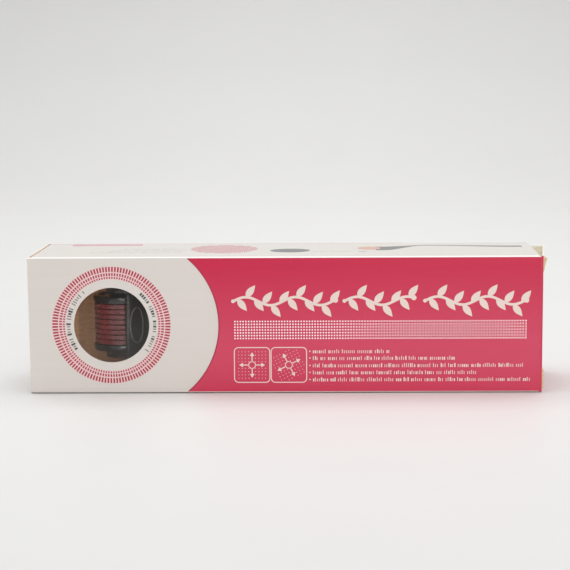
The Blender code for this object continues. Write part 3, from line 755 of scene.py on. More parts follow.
def build_icons():
    """Two framed pictograms: a dotted ground, a ring and four arrows that leave it."""
    with Ink("icons", "front", CREAM_INK, SECOND_INK) as icons:
        for x, turn in ICONS:
            middle = Vector((x, ICON_MIDDLE_Z))
            icons.stroke(rounded_square(*middle, ICON_SIZE / 2, 1.5 * MM), 0.34 * MM, closed=True)
            icons.stroke(circle(middle, 1.25 * MM, 24), 0.30 * MM, closed=True)
            turned_grid = Matrix.Rotation(turn, 2)
            for row in range(-4, 5):
                for column in range(-4, 5):
                    grid = Vector((column, row)) * ICON_DOT_PITCH
                    off_axes = min(abs(grid.x), abs(grid.y)) > 1.0 * MM
                    spot = turned_grid @ grid
                    inside = max(abs(spot.x), abs(spot.y)) < ICON_SIZE / 2 - 0.7 * MM
                    if inside and (off_axes or grid.length > 4.9 * MM):
                        icons.disc(*(middle + spot), 0.15 * MM, 6)
            for quarter in range(4):
                direction = unit(turn + quarter * pi / 2)
                side = left_of(direction) * 0.85 * MM
                end = middle + direction * 3.3 * MM
                icons.stroke([middle + direction * 1.5 * MM, end], 0.38 * MM)
                icons.shape([middle + direction * 4.7 * MM, end + side, end - side])


def word_ticks(ink, draw, left, right, value, height):
    """A line of small upright ticks in groups, in place of a line of words; in millimetres."""
    x, right, low, height = left * MM, right * MM, (value - height / 2) * MM, height * MM
    while x < right - TICK_PITCH:
        for _ in range(draw.randint(3, 8)):
            if x > right - TICK_PITCH:
                break
            tall = height * draw.choice((0.72, 0.72, 0.72, 1.0))
            width = TICK_PITCH * draw.choice((0.36, 0.36, 0.66))
            ink.bar(x, x + width, low, low + tall)
            x += TICK_PITCH
        x += TICK_PITCH * 0.8


def build_text_bars():
    draw = Random(5)
    with Ink("instruction_bars", "front", CREAM_INK, SECOND_INK) as bars:
        for z, right in TEXT_LINES:
            bars.disc((LINE_LEFT + 0.3) * MM, z * MM, 0.28 * MM)
            word_ticks(bars, draw, LINE_LEFT + 1.4, right, z, LINE_HEIGHT)


def build_front_print():
    build_pink_field()
    build_fold_line()
    build_window_rings()
    build_caption_marks()
    build_title_garland()
    build_dot_band()
    build_icons()
    build_text_bars()


# ------------------------------------------------------------ top, back, bottom

# In millimetres: y, then where a line starts and ends
TOP_LINES = ((2.0, -62.0, -35.5), (-2.4, -66.0, -36.0), (-7.0, -71.7, -38.0), (-7.0, 9.8, 23.4))
# Rectangles: low and high x, then first and last y or z
TOP_TAB = (-82.0 * MM, -55.4 * MM, 13.5 * MM, 19.6 * MM)
TOP_BLOCK = (26.5 * MM, 29.5 * MM, -8.4 * MM, -6.6 * MM)
BACK_FIELD = (-TUBE_HALF, 44.0 * MM, TOP_Z + 0.3 * MM, BOTTOM_Z + 0.2 * MM)
BOTTOM_STRIPE = (-80.0 * MM, 80.0 * MM, 6.0 * MM, -6.0 * MM)
# Ovals: middle, then half sizes
TOP_OVAL = (1.3 * MM, -4.0 * MM, 7.4 * MM, 5.4 * MM)
PICTURE_HEAD = (30.6 * MM, 2.6 * MM, 4.4 * MM, 4.6 * MM)
PICTURE_START, PICTURE_END = 33.0, 88.0
DOTTED_DISC = Vector((-23.3 * MM, 2.0 * MM))
DOTTED_DISC_RADIUS = 12.6 * MM
DOTTED_DISC_PITCH = 1.5 * MM
BACK_LINE_COUNT = 11
BACK_LINE_PITCH = 3.0


def oval_rows(x, y, half_x, half_y, steps=16):
    """Rows across an oval, for a shape large enough to follow the panel's bow."""
    halves = [(share, half_x * sqrt(1.0 - share * share)) for share in even(-0.985, 0.985, steps)]
    return [[(u, y + half_y * share) for u in even(x - half, x + half, steps)] for share, half in halves]


def build_top_print():
    draw = Random(23)
    with Ink("top_tab", "top", PALE_PINK_INK_AND_SHEEN) as tab:
        tab.band(grid_rows(*TOP_TAB, 12, 3))
    with Ink("top_text_ticks", "top", PALE_GREY_INK) as lines:
        for y, left, right in TOP_LINES:
            word_ticks(lines, draw, left, right, y, 1.7)
        lines.bar(*TOP_BLOCK)
    with Ink("top_dotted_disc", "top", TOP_PINK_INK) as disc:
        for row in range(-9, 10):
            for column in range(-9, 10):
                spot = Vector((column + (row % 2) / 2, row * 0.9)) * DOTTED_DISC_PITCH
                if spot.length < DOTTED_DISC_RADIUS:
                    disc.disc(*(DOTTED_DISC + spot), 0.60 * MM)
    with Ink("top_grey_oval", "top", GREY_INK) as oval:
        oval.band(oval_rows(*TOP_OVAL))
    build_top_silhouette()


def build_top_silhouette():
    """A plain outline of a roller: head, yoke and a long waved handle."""
    with Ink("top_picture_head", "top", ORANGE_INK) as head:
        head.band(oval_rows(*PICTURE_HEAD))
    rows = []
    for edge in (-1, 0, 1):
        row = []
        for share in even(0.0, 1.0, 64):
            dip = smooth_step((share - 0.4) * 2.0)
            middle = 1.6 + 9.6 * smooth_step((share - 0.05) * 3.4) - 3.2 * dip
            half = 0.9 + 4.6 * (1.0 - smooth_step((share - 0.06) * 4.0)) + 0.9 * dip
            row.append((between(PICTURE_START, PICTURE_END, share) * MM, (middle + edge * half) * MM))
        rows.append(row)
    with Ink("top_picture_handle", "top", GREY_INK) as handle:
        handle.band(rows)


def fine_outline(points, longest):
    """The same closed outline with its long straight runs divided."""
    fine = []
    for near, far in zip(points, points[1:] + points[:1]):
        steps = max(1, round(hypot(far[0] - near[0], far[1] - near[1]) / longest))
        fine += list(zip(even(near[0], far[0], steps), even(near[1], far[1], steps)))[:-1]
    return fine


def build_back_and_bottom_print():
    draw = Random(31)
    with Ink("back_field", "back", PINK_INK) as field:
        field.band(grid_rows(*BACK_FIELD, 48, 24))
    with Ink("back_text_bars", "back", CREAM_INK, SECOND_INK) as bars:
        for k in range(BACK_LINE_COUNT):
            word_ticks(bars, draw, -84.0, draw.uniform(10.0, 38.0), 40.0 - BACK_LINE_PITCH * k, LINE_HEIGHT)
    with Ink("back_panel_frame", "back", DEEP_PINK_INK) as panel:
        outline = rounded_square(67.5 * MM, MID_Z, 17.0 * MM, 3.0 * MM)
        panel.stroke(fine_outline(outline, 1.5 * MM), 0.5 * MM, closed=True)
    with Ink("bottom_stripe", "bottom", PINK_INK) as stripe:
        stripe.band(grid_rows(*BOTTOM_STRIPE, 40, 6))


# ------------------------------------------------------------- lids and flaps
# Each end is built as the right one and turned about the carton's middle. A fold goes
# from one outer surface to another round a small radius, in a plane across its crease.

def fold_path(first, second, radius, lead, reach_point):
    """Outer points and normals: a short lead, the fold's arc, then straight to a point.

    first and second are the two surfaces: a normal's angle, and the distance along it.
    """
    (first_angle, first_distance), (second_angle, second_distance) = first, second
    normals = Matrix((unit(first_angle), unit(second_angle)))
    centre = normals.inverted() @ Vector((first_distance - radius, second_distance - radius))
    path = [(centre + unit(angle) * radius, unit(angle)) for angle in even(first_angle, second_angle, 10)]
    arc_start, start_normal = path[0]
    arc_end, normal = path[-1]
    if lead:
        path.insert(0, (arc_start - left_of(start_normal) * lead, start_normal))
    heading = left_of(normal)
    length = (reach_point - arc_end).dot(heading)
    path += [(arc_end + heading * length * share, normal) for share in even(0.0, 1.0, 22)[1:]]
    return path, arc_start, arc_end


def bent_sheet(name, path, limits, to_world, cross_steps=20, materials=BOARD_SLOTS):
    """A closed sheet of board along a path; limits gives its two edges at each point."""
    bm = bmesh.new()
    layers = []
    for depth in (0.0, BOARD):
        rows = []
        travelled = 0.0
        for k, (point, normal) in enumerate(path):
            if k:
                travelled += (point - path[k - 1][0]).length
            low, high = limits(travelled)
            inside = point - normal * depth
            rows.append(make_row(bm, [to_world(inside, v) for v in even(low, high, cross_steps)]))
        layers.append(rows)
    add_sheet(bm, layers, (0, 1, 2))
    return finish_mesh(name, bm, materials)


def corner_inset(distance, radius):
    """How far a rounded corner pulls an edge in, this far from the tip."""
    if distance >= radius:
        return 0.0
    return radius - sqrt(max(0.0, radius ** 2 - (radius - distance) ** 2))


def path_length(path):
    return sum((path[k + 1][0] - path[k][0]).length for k in range(len(path) - 1))


LID_OUTSIDE = 0.60 * MM
LID_SIDE_INSET = 0.05 * MM
LID_FOLD_RADIUS = 0.75 * MM
LID_LEAD = 0.08 * MM
TUCK_LENGTH = 14.0 * MM
TUCK_SIDE_INSET = 1.30 * MM
TUCK_CORNER = 6.0 * MM
LEFT_TUCK_PAST_SQUARE = radians(8.0)
DUST_FOLD_RADIUS = 0.60 * MM
DUST_LEAD = 0.04 * MM
DUST_FLAP_LENGTH = 20.0 * MM
DUST_TAPER_START = 2.0 * MM
DUST_TAPER_DEPTH = 9.0 * MM
DUST_TUCK_CLEARANCE = 4.8 * MM
DUST_CORNER = 6.0 * MM
TORN_OUT = 0.30 * MM
TORN_FRONT = 0.40 * MM
# Each flake: low and high z, then its reach at the top and at the foot
TORN_FLAKES = (
    (42.4 * MM, 49.4 * MM, 2.00 * MM, 0.30 * MM),
    (1.2 * MM, 8.9 * MM, 1.10 * MM, 1.20 * MM),
)


def build_end(prefix, turn, past_square):
    """The lid, tuck flap and two dust flaps of one end."""
    spin = Matrix.Rotation(turn, 3, "Z")
    hinge, crease = ((spin.inverted() @ Vector(JOINTS[prefix + name]["pos_m"])).xy
                     for name in ("_lid_hinge", "_tuck_fold"))
    lid_open = -radians(JOINTS[prefix + "_lid_hinge"]["range_deg"][0])
    low, high = BOTTOM_Z + LID_SIDE_INSET, TOP_Z - LID_SIDE_INSET

    def upright(point, v):
        return proud_left_end(spin @ Vector((point.x, point.y, v)))

    lid_surface = (-lid_open, unit(-lid_open).dot(hinge) + LID_OUTSIDE)
    tuck_angle = pi / 2 + past_square
    tuck_surface = (tuck_angle, unit(tuck_angle).dot(crease) + LID_OUTSIDE)
    tuck_tip = crease + left_of(unit(tuck_angle)) * TUCK_LENGTH
    tuck_path, tuck_start, tuck_end = fold_path(lid_surface, tuck_surface, LID_FOLD_RADIUS, 0.0, tuck_tip)
    lid_path, lid_start, lid_end = fold_path(
        (-pi / 2, -FRONT_Y), lid_surface, LID_FOLD_RADIUS, LID_LEAD, tuck_start)
    slots = (COATED_WHITE, INSIDE_BOARD, CUT_EDGE) if turn else (LID_PINK, LID_INSIDE_PAINTED_LIGHT, CUT_EDGE)
    lid = bent_sheet(prefix + "_lid_board", lid_path, lambda travelled: (low, high), upright, materials=slots)
    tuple(upright(lid_start, MID_Z))
    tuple(upright(lid_end, MID_Z))
    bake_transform(lid)
    place(lid, None, prefix + "_lid")
    tuck_length = path_length(tuck_path)

    def tuck_limits(travelled):
        inset = TUCK_SIDE_INSET * smooth_step((travelled - 0.2 * MM) / (0.9 * MM)) + LID_SIDE_INSET
        inset += corner_inset(tuck_length - travelled, TUCK_CORNER)
        return BOTTOM_Z + inset, TOP_Z - inset

    tuck = bent_sheet(prefix + "_tuck_board", tuck_path, tuck_limits, upright, 28, slots)
    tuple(upright(tuck_start, MID_Z))
    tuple(upright(tuck_end, MID_Z))
    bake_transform(tuck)
    place(tuck, None, prefix + "_tuck_flap")
    for word, side in (("upper", 1), ("lower", -1)):
        build_dust_flap(prefix, word, side, spin)


def build_torn_board():
    """Flakes of bare board that stand out beside the right crease, ragged at their edge."""
    bm = bmesh.new()
    for low, high, top_reach, low_reach in TORN_FLAKES:
        rows = []
        for share in even(0.0, 1.0, 24):
            z = between(low, high, share)
            ragged = 0.18 * MM * noise.noise(Vector((0.0, 4.0, z / (1.1 * MM))))
            reach = between(low_reach, top_reach, share) + ragged
            reach *= smooth_step((1.0 - share) * 9.0) * 0.5 + 0.5
            near, far = TUBE_HALF + TORN_OUT, TUBE_HALF + TORN_OUT + max(reach, 0.1 * MM)
            front, back = FRONT_Y + TORN_FRONT, FRONT_Y + TORN_FRONT + BOARD
            rows.append(make_row(bm, [
                (near, front, z), (far, front + 0.1 * MM, z), (far, back, z), (near, back, z)]))
        add_rows(bm, rows)
        bm.faces.new(rows[0])
        bm.faces.new(rows[-1])
    place(finish_mesh("torn_board", bm, (TORN_BOARD,)), "right_lid")


def build_dust_flap(prefix, word, side, spin):
    """A dust flap, bent from the end of the top or bottom panel."""
    joint = JOINTS[f"{prefix}_{word}_flap_fold"]
    position = spin.inverted() @ Vector(joint["pos_m"])
    hinge = Vector((position.x, -side * (position.z - MID_Z)))
    angle = radians(joint["range_deg"][0])
    tip = hinge + left_of(unit(angle)) * DUST_FLAP_LENGTH
    panel, flap_surface = (-pi / 2, HALF_HEIGHT), (angle, unit(angle).dot(hinge))
    path, start, end = fold_path(panel, flap_surface, DUST_FOLD_RADIUS, DUST_LEAD, tip)
    length = path_length(path)

    def limits(travelled):
        drop = max(0.0, travelled - 1.2 * MM)
        taper = min(drop, DUST_TAPER_DEPTH) + max(0.0, drop - DUST_TAPER_DEPTH) * 0.1
        near = FRONT_Y + DUST_TAPER_START + taper + corner_inset(length - travelled, 1.2 * MM)
        far = BACK_Y - DUST_TUCK_CLEARANCE - corner_inset(length - travelled, DUST_CORNER)
        return near, far

    def to_world(point, v):
        return proud_left_end(spin @ Vector((point.x, v, MID_Z - side * point.y)))

    flap = bent_sheet(f"{prefix}_{word}_dust_board", path, limits, to_world)
    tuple(to_world(start, 0.0))
    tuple(to_world(end, 0.0))
    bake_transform(flap)
    place(flap, None, f"{prefix}_{word}_dust_flap")


# -------------------------------------------------------------- window film

def let_light_through(obj):
    """Clear sheets cast no shadow and stop no scattered light."""
    obj.visible_shadow = False
    obj.visible_diffuse = False


def film_ripple(x, z):
    """How far the film strays to the back; nothing at its edges."""
    u = (x - FILM_LOW.x) / (FILM_HIGH.x - FILM_LOW.x)
    v = (z - FILM_LOW.z) / (FILM_HIGH.z - FILM_LOW.z)
    wave = 0.5 + noise.noise(Vector((x / (11 * MM), z / (7 * MM), 3.0)))
    return 0.12 * MM * wave * sin(pi * u) * sin(pi * v)


def build_window_film():
    """A clear square behind the window, faintly rippled between its glued edges."""
    bm = bmesh.new()
    rows = grid_rows(FILM_LOW.x, FILM_HIGH.x, FILM_LOW.z, FILM_HIGH.z, 40, 40)
    add_sheet(bm, [[make_row(bm, [Vector((x, y + film_ripple(x, z), z)) for x, z in row]) for row in rows]
                   for y in (FILM_LOW.y, FILM_HIGH.y)])
    film = finish_mesh("film", bm, (CLEAR_FILM,))
    let_light_through(film)
    place(film, "carton", "window_film")


# ------------------------------------------------------------------- the roll

ROLL_CENTRE = Vector(JOINTS["roll_spin"]["pos_m"])
DISC_COUNT = 8
DISC_RADIUS = 9.60 * MM
DISC_BORE = 3.30 * MM
NEEDLES_PER_DISC = 24
NEEDLE_PROFILE = ((9.35 * MM, 0.10 * MM), (9.80 * MM, 0.10 * MM), (10.06 * MM, 0.04 * MM))
NEEDLE_TIP = 10.10 * MM


def axle_rings(profile, steps):
    """Rings about the roll's axis from (radius, z) points."""
    return [[Vector((x, y, z)) for x, y in circle(ROLL_CENTRE.xy, radius, steps)] for radius, z in profile]


def mirrored(profile, middle):
    """A profile of (radius, distance from the middle) points, below the middle and above it."""
    below = [(radius, middle - half) for radius, half in profile]
    return below + [(radius, middle + half) for radius, half in reversed(profile)]


def turned(name, profile, material, node):
    """A ring-shaped piece of the roll, turned from a closed profile."""
    rings = loft_mesh(axle_rings(profile, 96), closed=True)
    place(finish_mesh(name, rings, (material,), radians(30.0)), "roll", node)


def build_discs():
    """Red discs with a slim rim between shallow grooves, and steel needles round each."""
    for index in range(DISC_COUNT):
        node = f"needle_disc_{index + 1}"
        low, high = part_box(node)
        middle = (low.z + high.z) / 2
        half = (high.z - low.z) / 2 + 0.08 * MM
        rim = half * 0.97
        profile = [
            (DISC_BORE, half), (8.1 * MM, half), (8.6 * MM, rim), (9.2 * MM, rim),
            (DISC_RADIUS - 0.12 * MM, rim * 0.94), (DISC_RADIUS, rim * 0.84),
        ]
        turned(f"disc_{index + 1}", mirrored(profile, middle), DISC_RED, node)
        build_needles(index, middle)


def build_needles(index, level):
    """Steel needles round a disc; every second disc is turned by half a step."""
    bm = bmesh.new()
    sides = 8
    for k in range(NEEDLES_PER_DISC):
        out = unit(2 * pi * (k + 0.5 * (index % 2)) / NEEDLES_PER_DISC)
        side = left_of(out)
        rings = []
        for reach, radius in NEEDLE_PROFILE:
            root = ROLL_CENTRE.xy + out * reach
            section = circle((0, 0), radius, sides)
            rings.append(make_row(bm, [(*(root + side * u), level + v) for u, v in section]))
        add_rows(bm, rings)
        bm.faces.new(rings[0])
        point = ROLL_CENTRE.xy + out * NEEDLE_TIP
        tip = bm.verts.new((point.x, point.y, level))
        for j in range(sides):
            bm.faces.new((rings[-1][j], rings[-1][(j + 1) % sides], tip))
    place(finish_mesh(f"needles_{index + 1}", bm, (STEEL,)), "roll")


def build_flanges_and_core():
    for node, side in (("upper_flange", 1), ("lower_flange", -1)):
        low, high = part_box(node)
        near, far = (low.z, high.z) if side > 0 else (high.z, low.z)
        radius = (high.x - low.x) / 2
        inner = far - side * 0.5 * MM
        profile = [
            (1.0 * MM, near), (radius - 0.45 * MM, near), (radius - 0.13 * MM, near + side * 0.13 * MM),
            (radius, near + side * 0.45 * MM), (radius, far - side * 0.55 * MM),
            (radius - 0.16 * MM, far - side * 0.16 * MM), (radius - 0.55 * MM, far),
            (8.0 * MM, far), (7.7 * MM, inner), (4.2 * MM, inner), (3.9 * MM, far), (1.0 * MM, far),
        ]
        turned(node + "_piece", profile, GLOSS_BLACK, node)
    low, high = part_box("roll_core")
    profile = [(radius * MM, z) for radius, z in ((1, low.z), (3, low.z), (3, high.z), (1, high.z))]
    turned("core_piece", profile, GLOSS_BLACK, "roll_core")


def build_axle():
    low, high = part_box("axle_pin")
    radius, half = (high.x - low.x) / 2, (high.z - low.z) / 2
    profile = [(radius * 0.6, half), (radius * 0.85, half - 0.12 * MM), (radius, half - 0.35 * MM)]
    rings = axle_rings(mirrored(profile, (low.z + high.z) / 2), 32)
    axle = finish_mesh("axle", loft_mesh(rings), (STEEL,))
    place(axle, "roller_in_tray", "axle_pin")


# ------------------------------------------------------------- yoke and handle

YOKE_LOW, YOKE_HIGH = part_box("yoke")
ARM_THICKNESS = 2.50 * MM
ARM_TIP_RADIUS = 5.6 * MM
ARM_ROOT_X = 13.0 * MM
ARM_ROOT_HALF_WIDTH = 8.8 * MM
HOOD_INNER = 10.75 * MM
HOOD_OUTER = 12.15 * MM
HOOD_HALF_ANGLE = radians(73.5)
HOOD_RECEDES = radians(2.0)
NECK_START = 11.25 * MM
NECK_END = 24.0 * MM
NECK_HALF_DEPTH, NECK_HALF_HEIGHT = 5.3 * MM, 6.3 * MM
PLUG_HALF_DEPTH, PLUG_HALF_HEIGHT = 3.0 * MM, 4.0 * MM


def rounded_section(x, half_depth, half_height, steps=40):
    """A squarish oval section of the neck, from the roots of a circle's points."""
    points = []
    for k in range(steps):
        spot = unit(2 * pi * (k + 0.5) / steps)
        y, z = (copysign(sqrt(abs(part)), part) for part in spot)
        points.append(ROLL_CENTRE + Vector((x, half_depth * y, half_height * z)))
    return points


def yoke_arm_rings(side):
    outer = (YOKE_HIGH.z - YOKE_LOW.z) / 2
    outline = arc((0.0, 0.0), ARM_TIP_RADIUS, radians(105), radians(255), 24)
    outline += [(ARM_ROOT_X, -ARM_ROOT_HALF_WIDTH), (ARM_ROOT_X, ARM_ROOT_HALF_WIDTH)]
    levels = (side * (outer - ARM_THICKNESS), side * outer)
    return [[ROLL_CENTRE + Vector((x, y, level)) for x, y in outline] for level in levels]


def yoke_hood_rings():
    reach = (YOKE_HIGH.z - YOKE_LOW.z) / 2 - ARM_THICKNESS / 2
    rings = []
    for t in even(-1.0, 1.0, 24):
        half = HOOD_HALF_ANGLE - HOOD_RECEDES * t * t
        outer = arc((0.0, 0.0), HOOD_OUTER, -half, half, 40)
        inner = arc((0.0, 0.0), HOOD_INNER, half, -half, 40)
        rings.append([ROLL_CENTRE + Vector((x, y, t * reach)) for x, y in outer + inner])
    return rings


def yoke_neck_rings():
    root_height = (YOKE_HIGH.z - YOKE_LOW.z) / 2 - 0.2 * MM
    rings = []
    for share in even(0.0, 1.0, 12):
        t = smooth_step(share)
        half_depth = between(ARM_ROOT_HALF_WIDTH, NECK_HALF_DEPTH, t)
        half_height = between(root_height, NECK_HALF_HEIGHT, t)
        rings.append(rounded_section(between(NECK_START, NECK_END, share), half_depth, half_height))
    for x in (NECK_END, YOKE_HIGH.x - ROLL_CENTRE.x):
        rings.append(rounded_section(x, PLUG_HALF_DEPTH, PLUG_HALF_HEIGHT))
    return rings


def build_yoke():
    """Arms, hood and neck, fused and rounded into one moulding."""
    whole = bmesh.new()
    for rings in (yoke_arm_rings(1), yoke_arm_rings(-1), yoke_hood_rings(), yoke_neck_rings()):
        part = loft_mesh(rings)
        bmesh.ops.recalc_face_normals(part, faces=part.faces)
        scratch = bpy.data.meshes.new("yoke_part")
        part.to_mesh(scratch)
        part.free()
        whole.from_mesh(scratch)
        bpy.data.meshes.remove(scratch)
    yoke = finish_mesh("yoke_moulding", whole, (GLOSS_BLACK,))
    fuse = yoke.modifiers.new("fuse", "REMESH")
    fuse.mode = "VOXEL"
    fuse.voxel_size = 0.30 * MM
    soften = yoke.modifiers.new("soften", "SMOOTH")
    soften.factor = 0.6
    soften.iterations = 8
    bake_modifiers(yoke)
    yoke.data.shade_smooth()
    place(yoke, "roller_in_tray", "yoke")


PAD_ANGLE = radians(36.5)
PAD_HALF_ANGLE = radians(12.7)
PAD_HALF_HEIGHT = 6.6 * MM
PAD_BEAD = 0.38 * MM


def build_yoke_pads():
    """An oval bead on the hood's front, and one on its back, round the thumb pads, in a grey paler than the
    yoke that paints their highlight.
    """
    bm = bmesh.new()
    for side in (-1, 1):
        rings = []
        for angle in even(0.0, 2 * pi, 72)[:-1]:
            turn = PAD_ANGLE + PAD_HALF_ANGLE * cos(angle)
            out = Vector((sin(turn), side * cos(turn), 0.0))
            along = Vector((cos(turn), -side * sin(turn), 0.0)) * cos(angle) * PAD_HALF_ANGLE * HOOD_OUTER
            up = Vector((0.0, 0.0, PAD_HALF_HEIGHT * sin(angle)))
            spread = (along + up).normalized()
            middle = ROLL_CENTRE + out * HOOD_OUTER + up
            section = circle((0, 0), PAD_BEAD, 12)
            rings.append(make_row(bm, [middle + spread * u + out * v for u, v in section]))
        add_rows(bm, rings + rings[:1])
    place(finish_mesh("yoke_pad_beads", bm, (BEAD_HIGHLIGHT_GREY,)), "roller_in_tray")


HANDLE_LOW, HANDLE_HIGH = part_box("handle_front_shell")
HANDLE_START = HANDLE_LOW.x
HANDLE_LENGTH = HANDLE_HIGH.x - HANDLE_LOW.x
HANDLE_STOPS = ((0.0, 5.3, 6.3), (28.0, 7.8, 9.0), (66.0, 5.4, 7.0), (98.0, 6.6, 8.2), (116.0, 6.0, 7.6))
HANDLE_SWAY = 2.2 * MM
HANDLE_WAVE = 116.0 * MM
HANDLE_NOSE = 8.0 * MM
HANDLE_WALL = 1.6 * MM
PARTING_GAP = 0.06 * MM
RIB_PITCH = 2.6 * MM
RIB_HEIGHT = 0.22 * MM


def follow_stops(stops, x):
    """The sizes at x, eased from stop to stop; a stop is (x, size, ...) in millimetres."""
    for near, far in zip(stops, stops[1:]):
        if x <= far[0] * MM:
            break
    t = smooth_step((x / MM - near[0]) / (far[0] - near[0]))
    return [between(a, b, t) * MM for a, b in zip(near[1:], far[1:])]


def nose_factor(x, length):
    into = max(0.0, x - (length - HANDLE_NOSE)) / HANDLE_NOSE
    return sqrt(max(0.0, 1.0 - into * into))


def rib_depth(x, angle):
    """Grip ribs on the bulge near the neck, fading out at their ends and at the seam."""
    zone = smooth_step((x - 14 * MM) / (5 * MM)) * (1.0 - smooth_step((x - 44 * MM) / (5 * MM)))
    return RIB_HEIGHT * zone * sin(angle) ** 2 * (0.5 + 0.5 * cos(2 * pi * x / RIB_PITCH))


def build_handle_shell(name, node, side):
    """One half of the handle: a C-shaped section swept along a gentle S."""
    straight = HANDLE_LENGTH - HANDLE_NOSE
    positions = even(0.0, straight, 150)
    positions += [straight + HANDLE_NOSE * sin(angle) for angle in even(0.0, pi / 2 - 0.05, 12)[1:]]
    rings = []
    for x in positions:
        half_depth, half_height = follow_stops(HANDLE_STOPS, x)
        sway = HANDLE_SWAY * sin(2 * pi * x / HANDLE_WAVE) * smooth_step(4 * x / HANDLE_WAVE)
        nose = nose_factor(x, HANDLE_LENGTH)
        hollow = nose_factor(x, HANDLE_LENGTH - 2 * HANDLE_WALL)
        ring = []

        def add_point(angle, depth, height):
            y = sway + side * (PARTING_GAP / 2 + depth * sin(angle))
            ring.append(Vector((HANDLE_START + x, y, ROLL_CENTRE.z + height * cos(angle))))

        for angle in even(0.0, pi, 28):
            rib = rib_depth(x, angle)
            add_point(angle, (half_depth - rib) * nose, (half_height - rib) * nose)
        inner = [max(0.02 * MM, (half - HANDLE_WALL) * hollow) for half in (half_depth, half_height)]
        for angle in even(pi, 0.0, 20):
            add_point(angle, *inner)
        rings.append(ring)
    shell = finish_mesh(name, loft_mesh(rings), (GLOSS_BLACK,))
    place(shell, "roller_in_tray", node)


# ------------------------------------------------------------------------ tray

TRAY_LOW, TRAY_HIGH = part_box("blister_tray")
TRAY_SHEET = 0.40 * MM
POCKET_LEFT = -74.6 * MM
POCKET_RIGHT = 79.6 * MM
POCKET_FLOOR_Y = 13.5 * MM
POCKET_CORNER = 5.0 * MM
POCKET_STOPS = (
    (-76.0, 14.8), (-47.4, 14.8), (-38.4, 11.1), (0.0, 10.2), (14.0, 10.2),
    (20.0, 16.1), (32.0, 16.1), (38.0, 10.2), (81.0, 10.2),
)
# Where the sheet turns, in millimetres: a step out from the pocket or in from the skirt,
# then a step in depth
FLOOR_ROUNDING = ((0.25, 0.10), (0.45, 0.5))
LIP_ROUNDING = ((1.25, 0.8), (1.45, 0.25), (1.85, 0.03), (2.4, 0.0))
RIM_ROUNDING = ((1.9, 0.0), (1.25, 0.1), (1.0, 0.6))


def pocket_half_height(x):
    (height,) = follow_stops(POCKET_STOPS, x)
    return height - corner_inset(min(x - POCKET_LEFT, POCKET_RIGHT - x), POCKET_CORNER)


def pocket_floor_grid(columns, rows):
    """The pocket's floor as rows of (x, z), its rim following the pocket's outline."""
    halves = [(x, pocket_half_height(x)) for x in even(POCKET_LEFT, POCKET_RIGHT, columns)]
    return [[(x, z) for z in even(-half, half, rows)] for x, half in halves]


def build_tray():
    """A formed sheet: a pocket with rounded lips, a flat rim and a skirt to the back."""
    columns, rows = 120, 14
    grid = pocket_floor_grid(columns, rows)
    rim = rim_indices(columns + 1, rows + 1)
    outline = [grid[i][j] for i, j in rim]
    following = outline[1:] + outline[:1]
    normals = [left_of(Vector(after) - Vector(before)).normalized()
               for before, after in zip(outline[-1:] + outline[:-1], following)]
    rim_y, skirt_y = TRAY_LOW.y + TRAY_SHEET / 2, TRAY_HIGH.y - TRAY_SHEET / 2
    half_length, _, half_height = (TRAY_HIGH - TRAY_LOW - Vector((TRAY_SHEET,) * 3)) / 2

    def rim_loop(inset, y):
        """The outline pushed out to the tray's rounded rectangle."""
        points = []
        for (x, z), normal in zip(outline, normals):
            reach_x, reach_z = half_length - inset, half_height - inset
            scale_x = x / (POCKET_RIGHT if x > 0 else -POCKET_LEFT)
            half = pocket_half_height(min(max(x, POCKET_LEFT), POCKET_RIGHT))
            edge = abs(z) >= half - 1e-6
            at_end = abs(normal.x) > 0.9 and not edge
            rim_x = reach_x * (scale_x if not at_end else (1 if x > 0 else -1))
            rim_z = reach_z * (1 if z > 0 else -1) if edge else z * reach_z / max(half, MM)
            points.append(Vector((rim_x, y, MID_Z + rim_z)))
        return points

    def pocket_loop(offset, y):
        return [Vector((x + normal.x * offset, y, ROLL_CENTRE.z + z + normal.y * offset))
                for (x, z), normal in zip(outline, normals)]

    loops = [pocket_loop(offset * MM, POCKET_FLOOR_Y - rise * MM) for offset, rise in FLOOR_ROUNDING]
    loops += [pocket_loop(offset * MM, rim_y + drop * MM) for offset, drop in LIP_ROUNDING]
    loops += [rim_loop(inset * MM, rim_y + drop * MM) for inset, drop in RIM_ROUNDING]
    loops.append(rim_loop(0.0, skirt_y))
    bm = bmesh.new()
    floor = [make_row(bm, [(x, POCKET_FLOOR_Y, ROLL_CENTRE.z + z) for x, z in row]) for row in grid]
    add_rows(bm, floor, wrap=False)
    add_rows(bm, [[floor[i][j] for i, j in rim]] + [make_row(bm, loop) for loop in loops])
    tray = finish_mesh("formed_tray", bm, (CLEAR_SHEET,))
    sheet = tray.modifiers.new("sheet", "SOLIDIFY")
    sheet.thickness = TRAY_SHEET
    sheet.offset = 0.0
    bake_modifiers(tray)
    let_light_through(tray)
    place(tray, "roller_in_tray", "blister_tray")


# ----------------------------------------------------------------------- stage

CAMERA_PLACE = Vector((12.8 * MM, -627.5 * MM, 125.6 * MM))
CAMERA_YAW = radians(-1.236)  # towards +X
CAMERA_PITCH = radians(8.083)  # downwards
CAMERA_ROLL = radians(-0.380)
CAMERA_LENS = 107.4


def build_camera():
    data = bpy.data.cameras.new("camera")
    data.sensor_width = 36.0
    data.lens = CAMERA_LENS
    data.clip_start = 0.01
    camera = bpy.data.objects.new("camera", data)
    yaw = Matrix.Rotation(-CAMERA_YAW, 4, "Z")
    pitch = Matrix.Rotation(pi / 2 - CAMERA_PITCH, 4, "X")
    roll = Matrix.Rotation(CAMERA_ROLL, 4, "Z")
    camera.matrix_world = Matrix.Translation(CAMERA_PLACE) @ yaw @ pitch @ roll
    bpy.context.scene.collection.objects.link(camera)
    bpy.context.scene.camera = camera


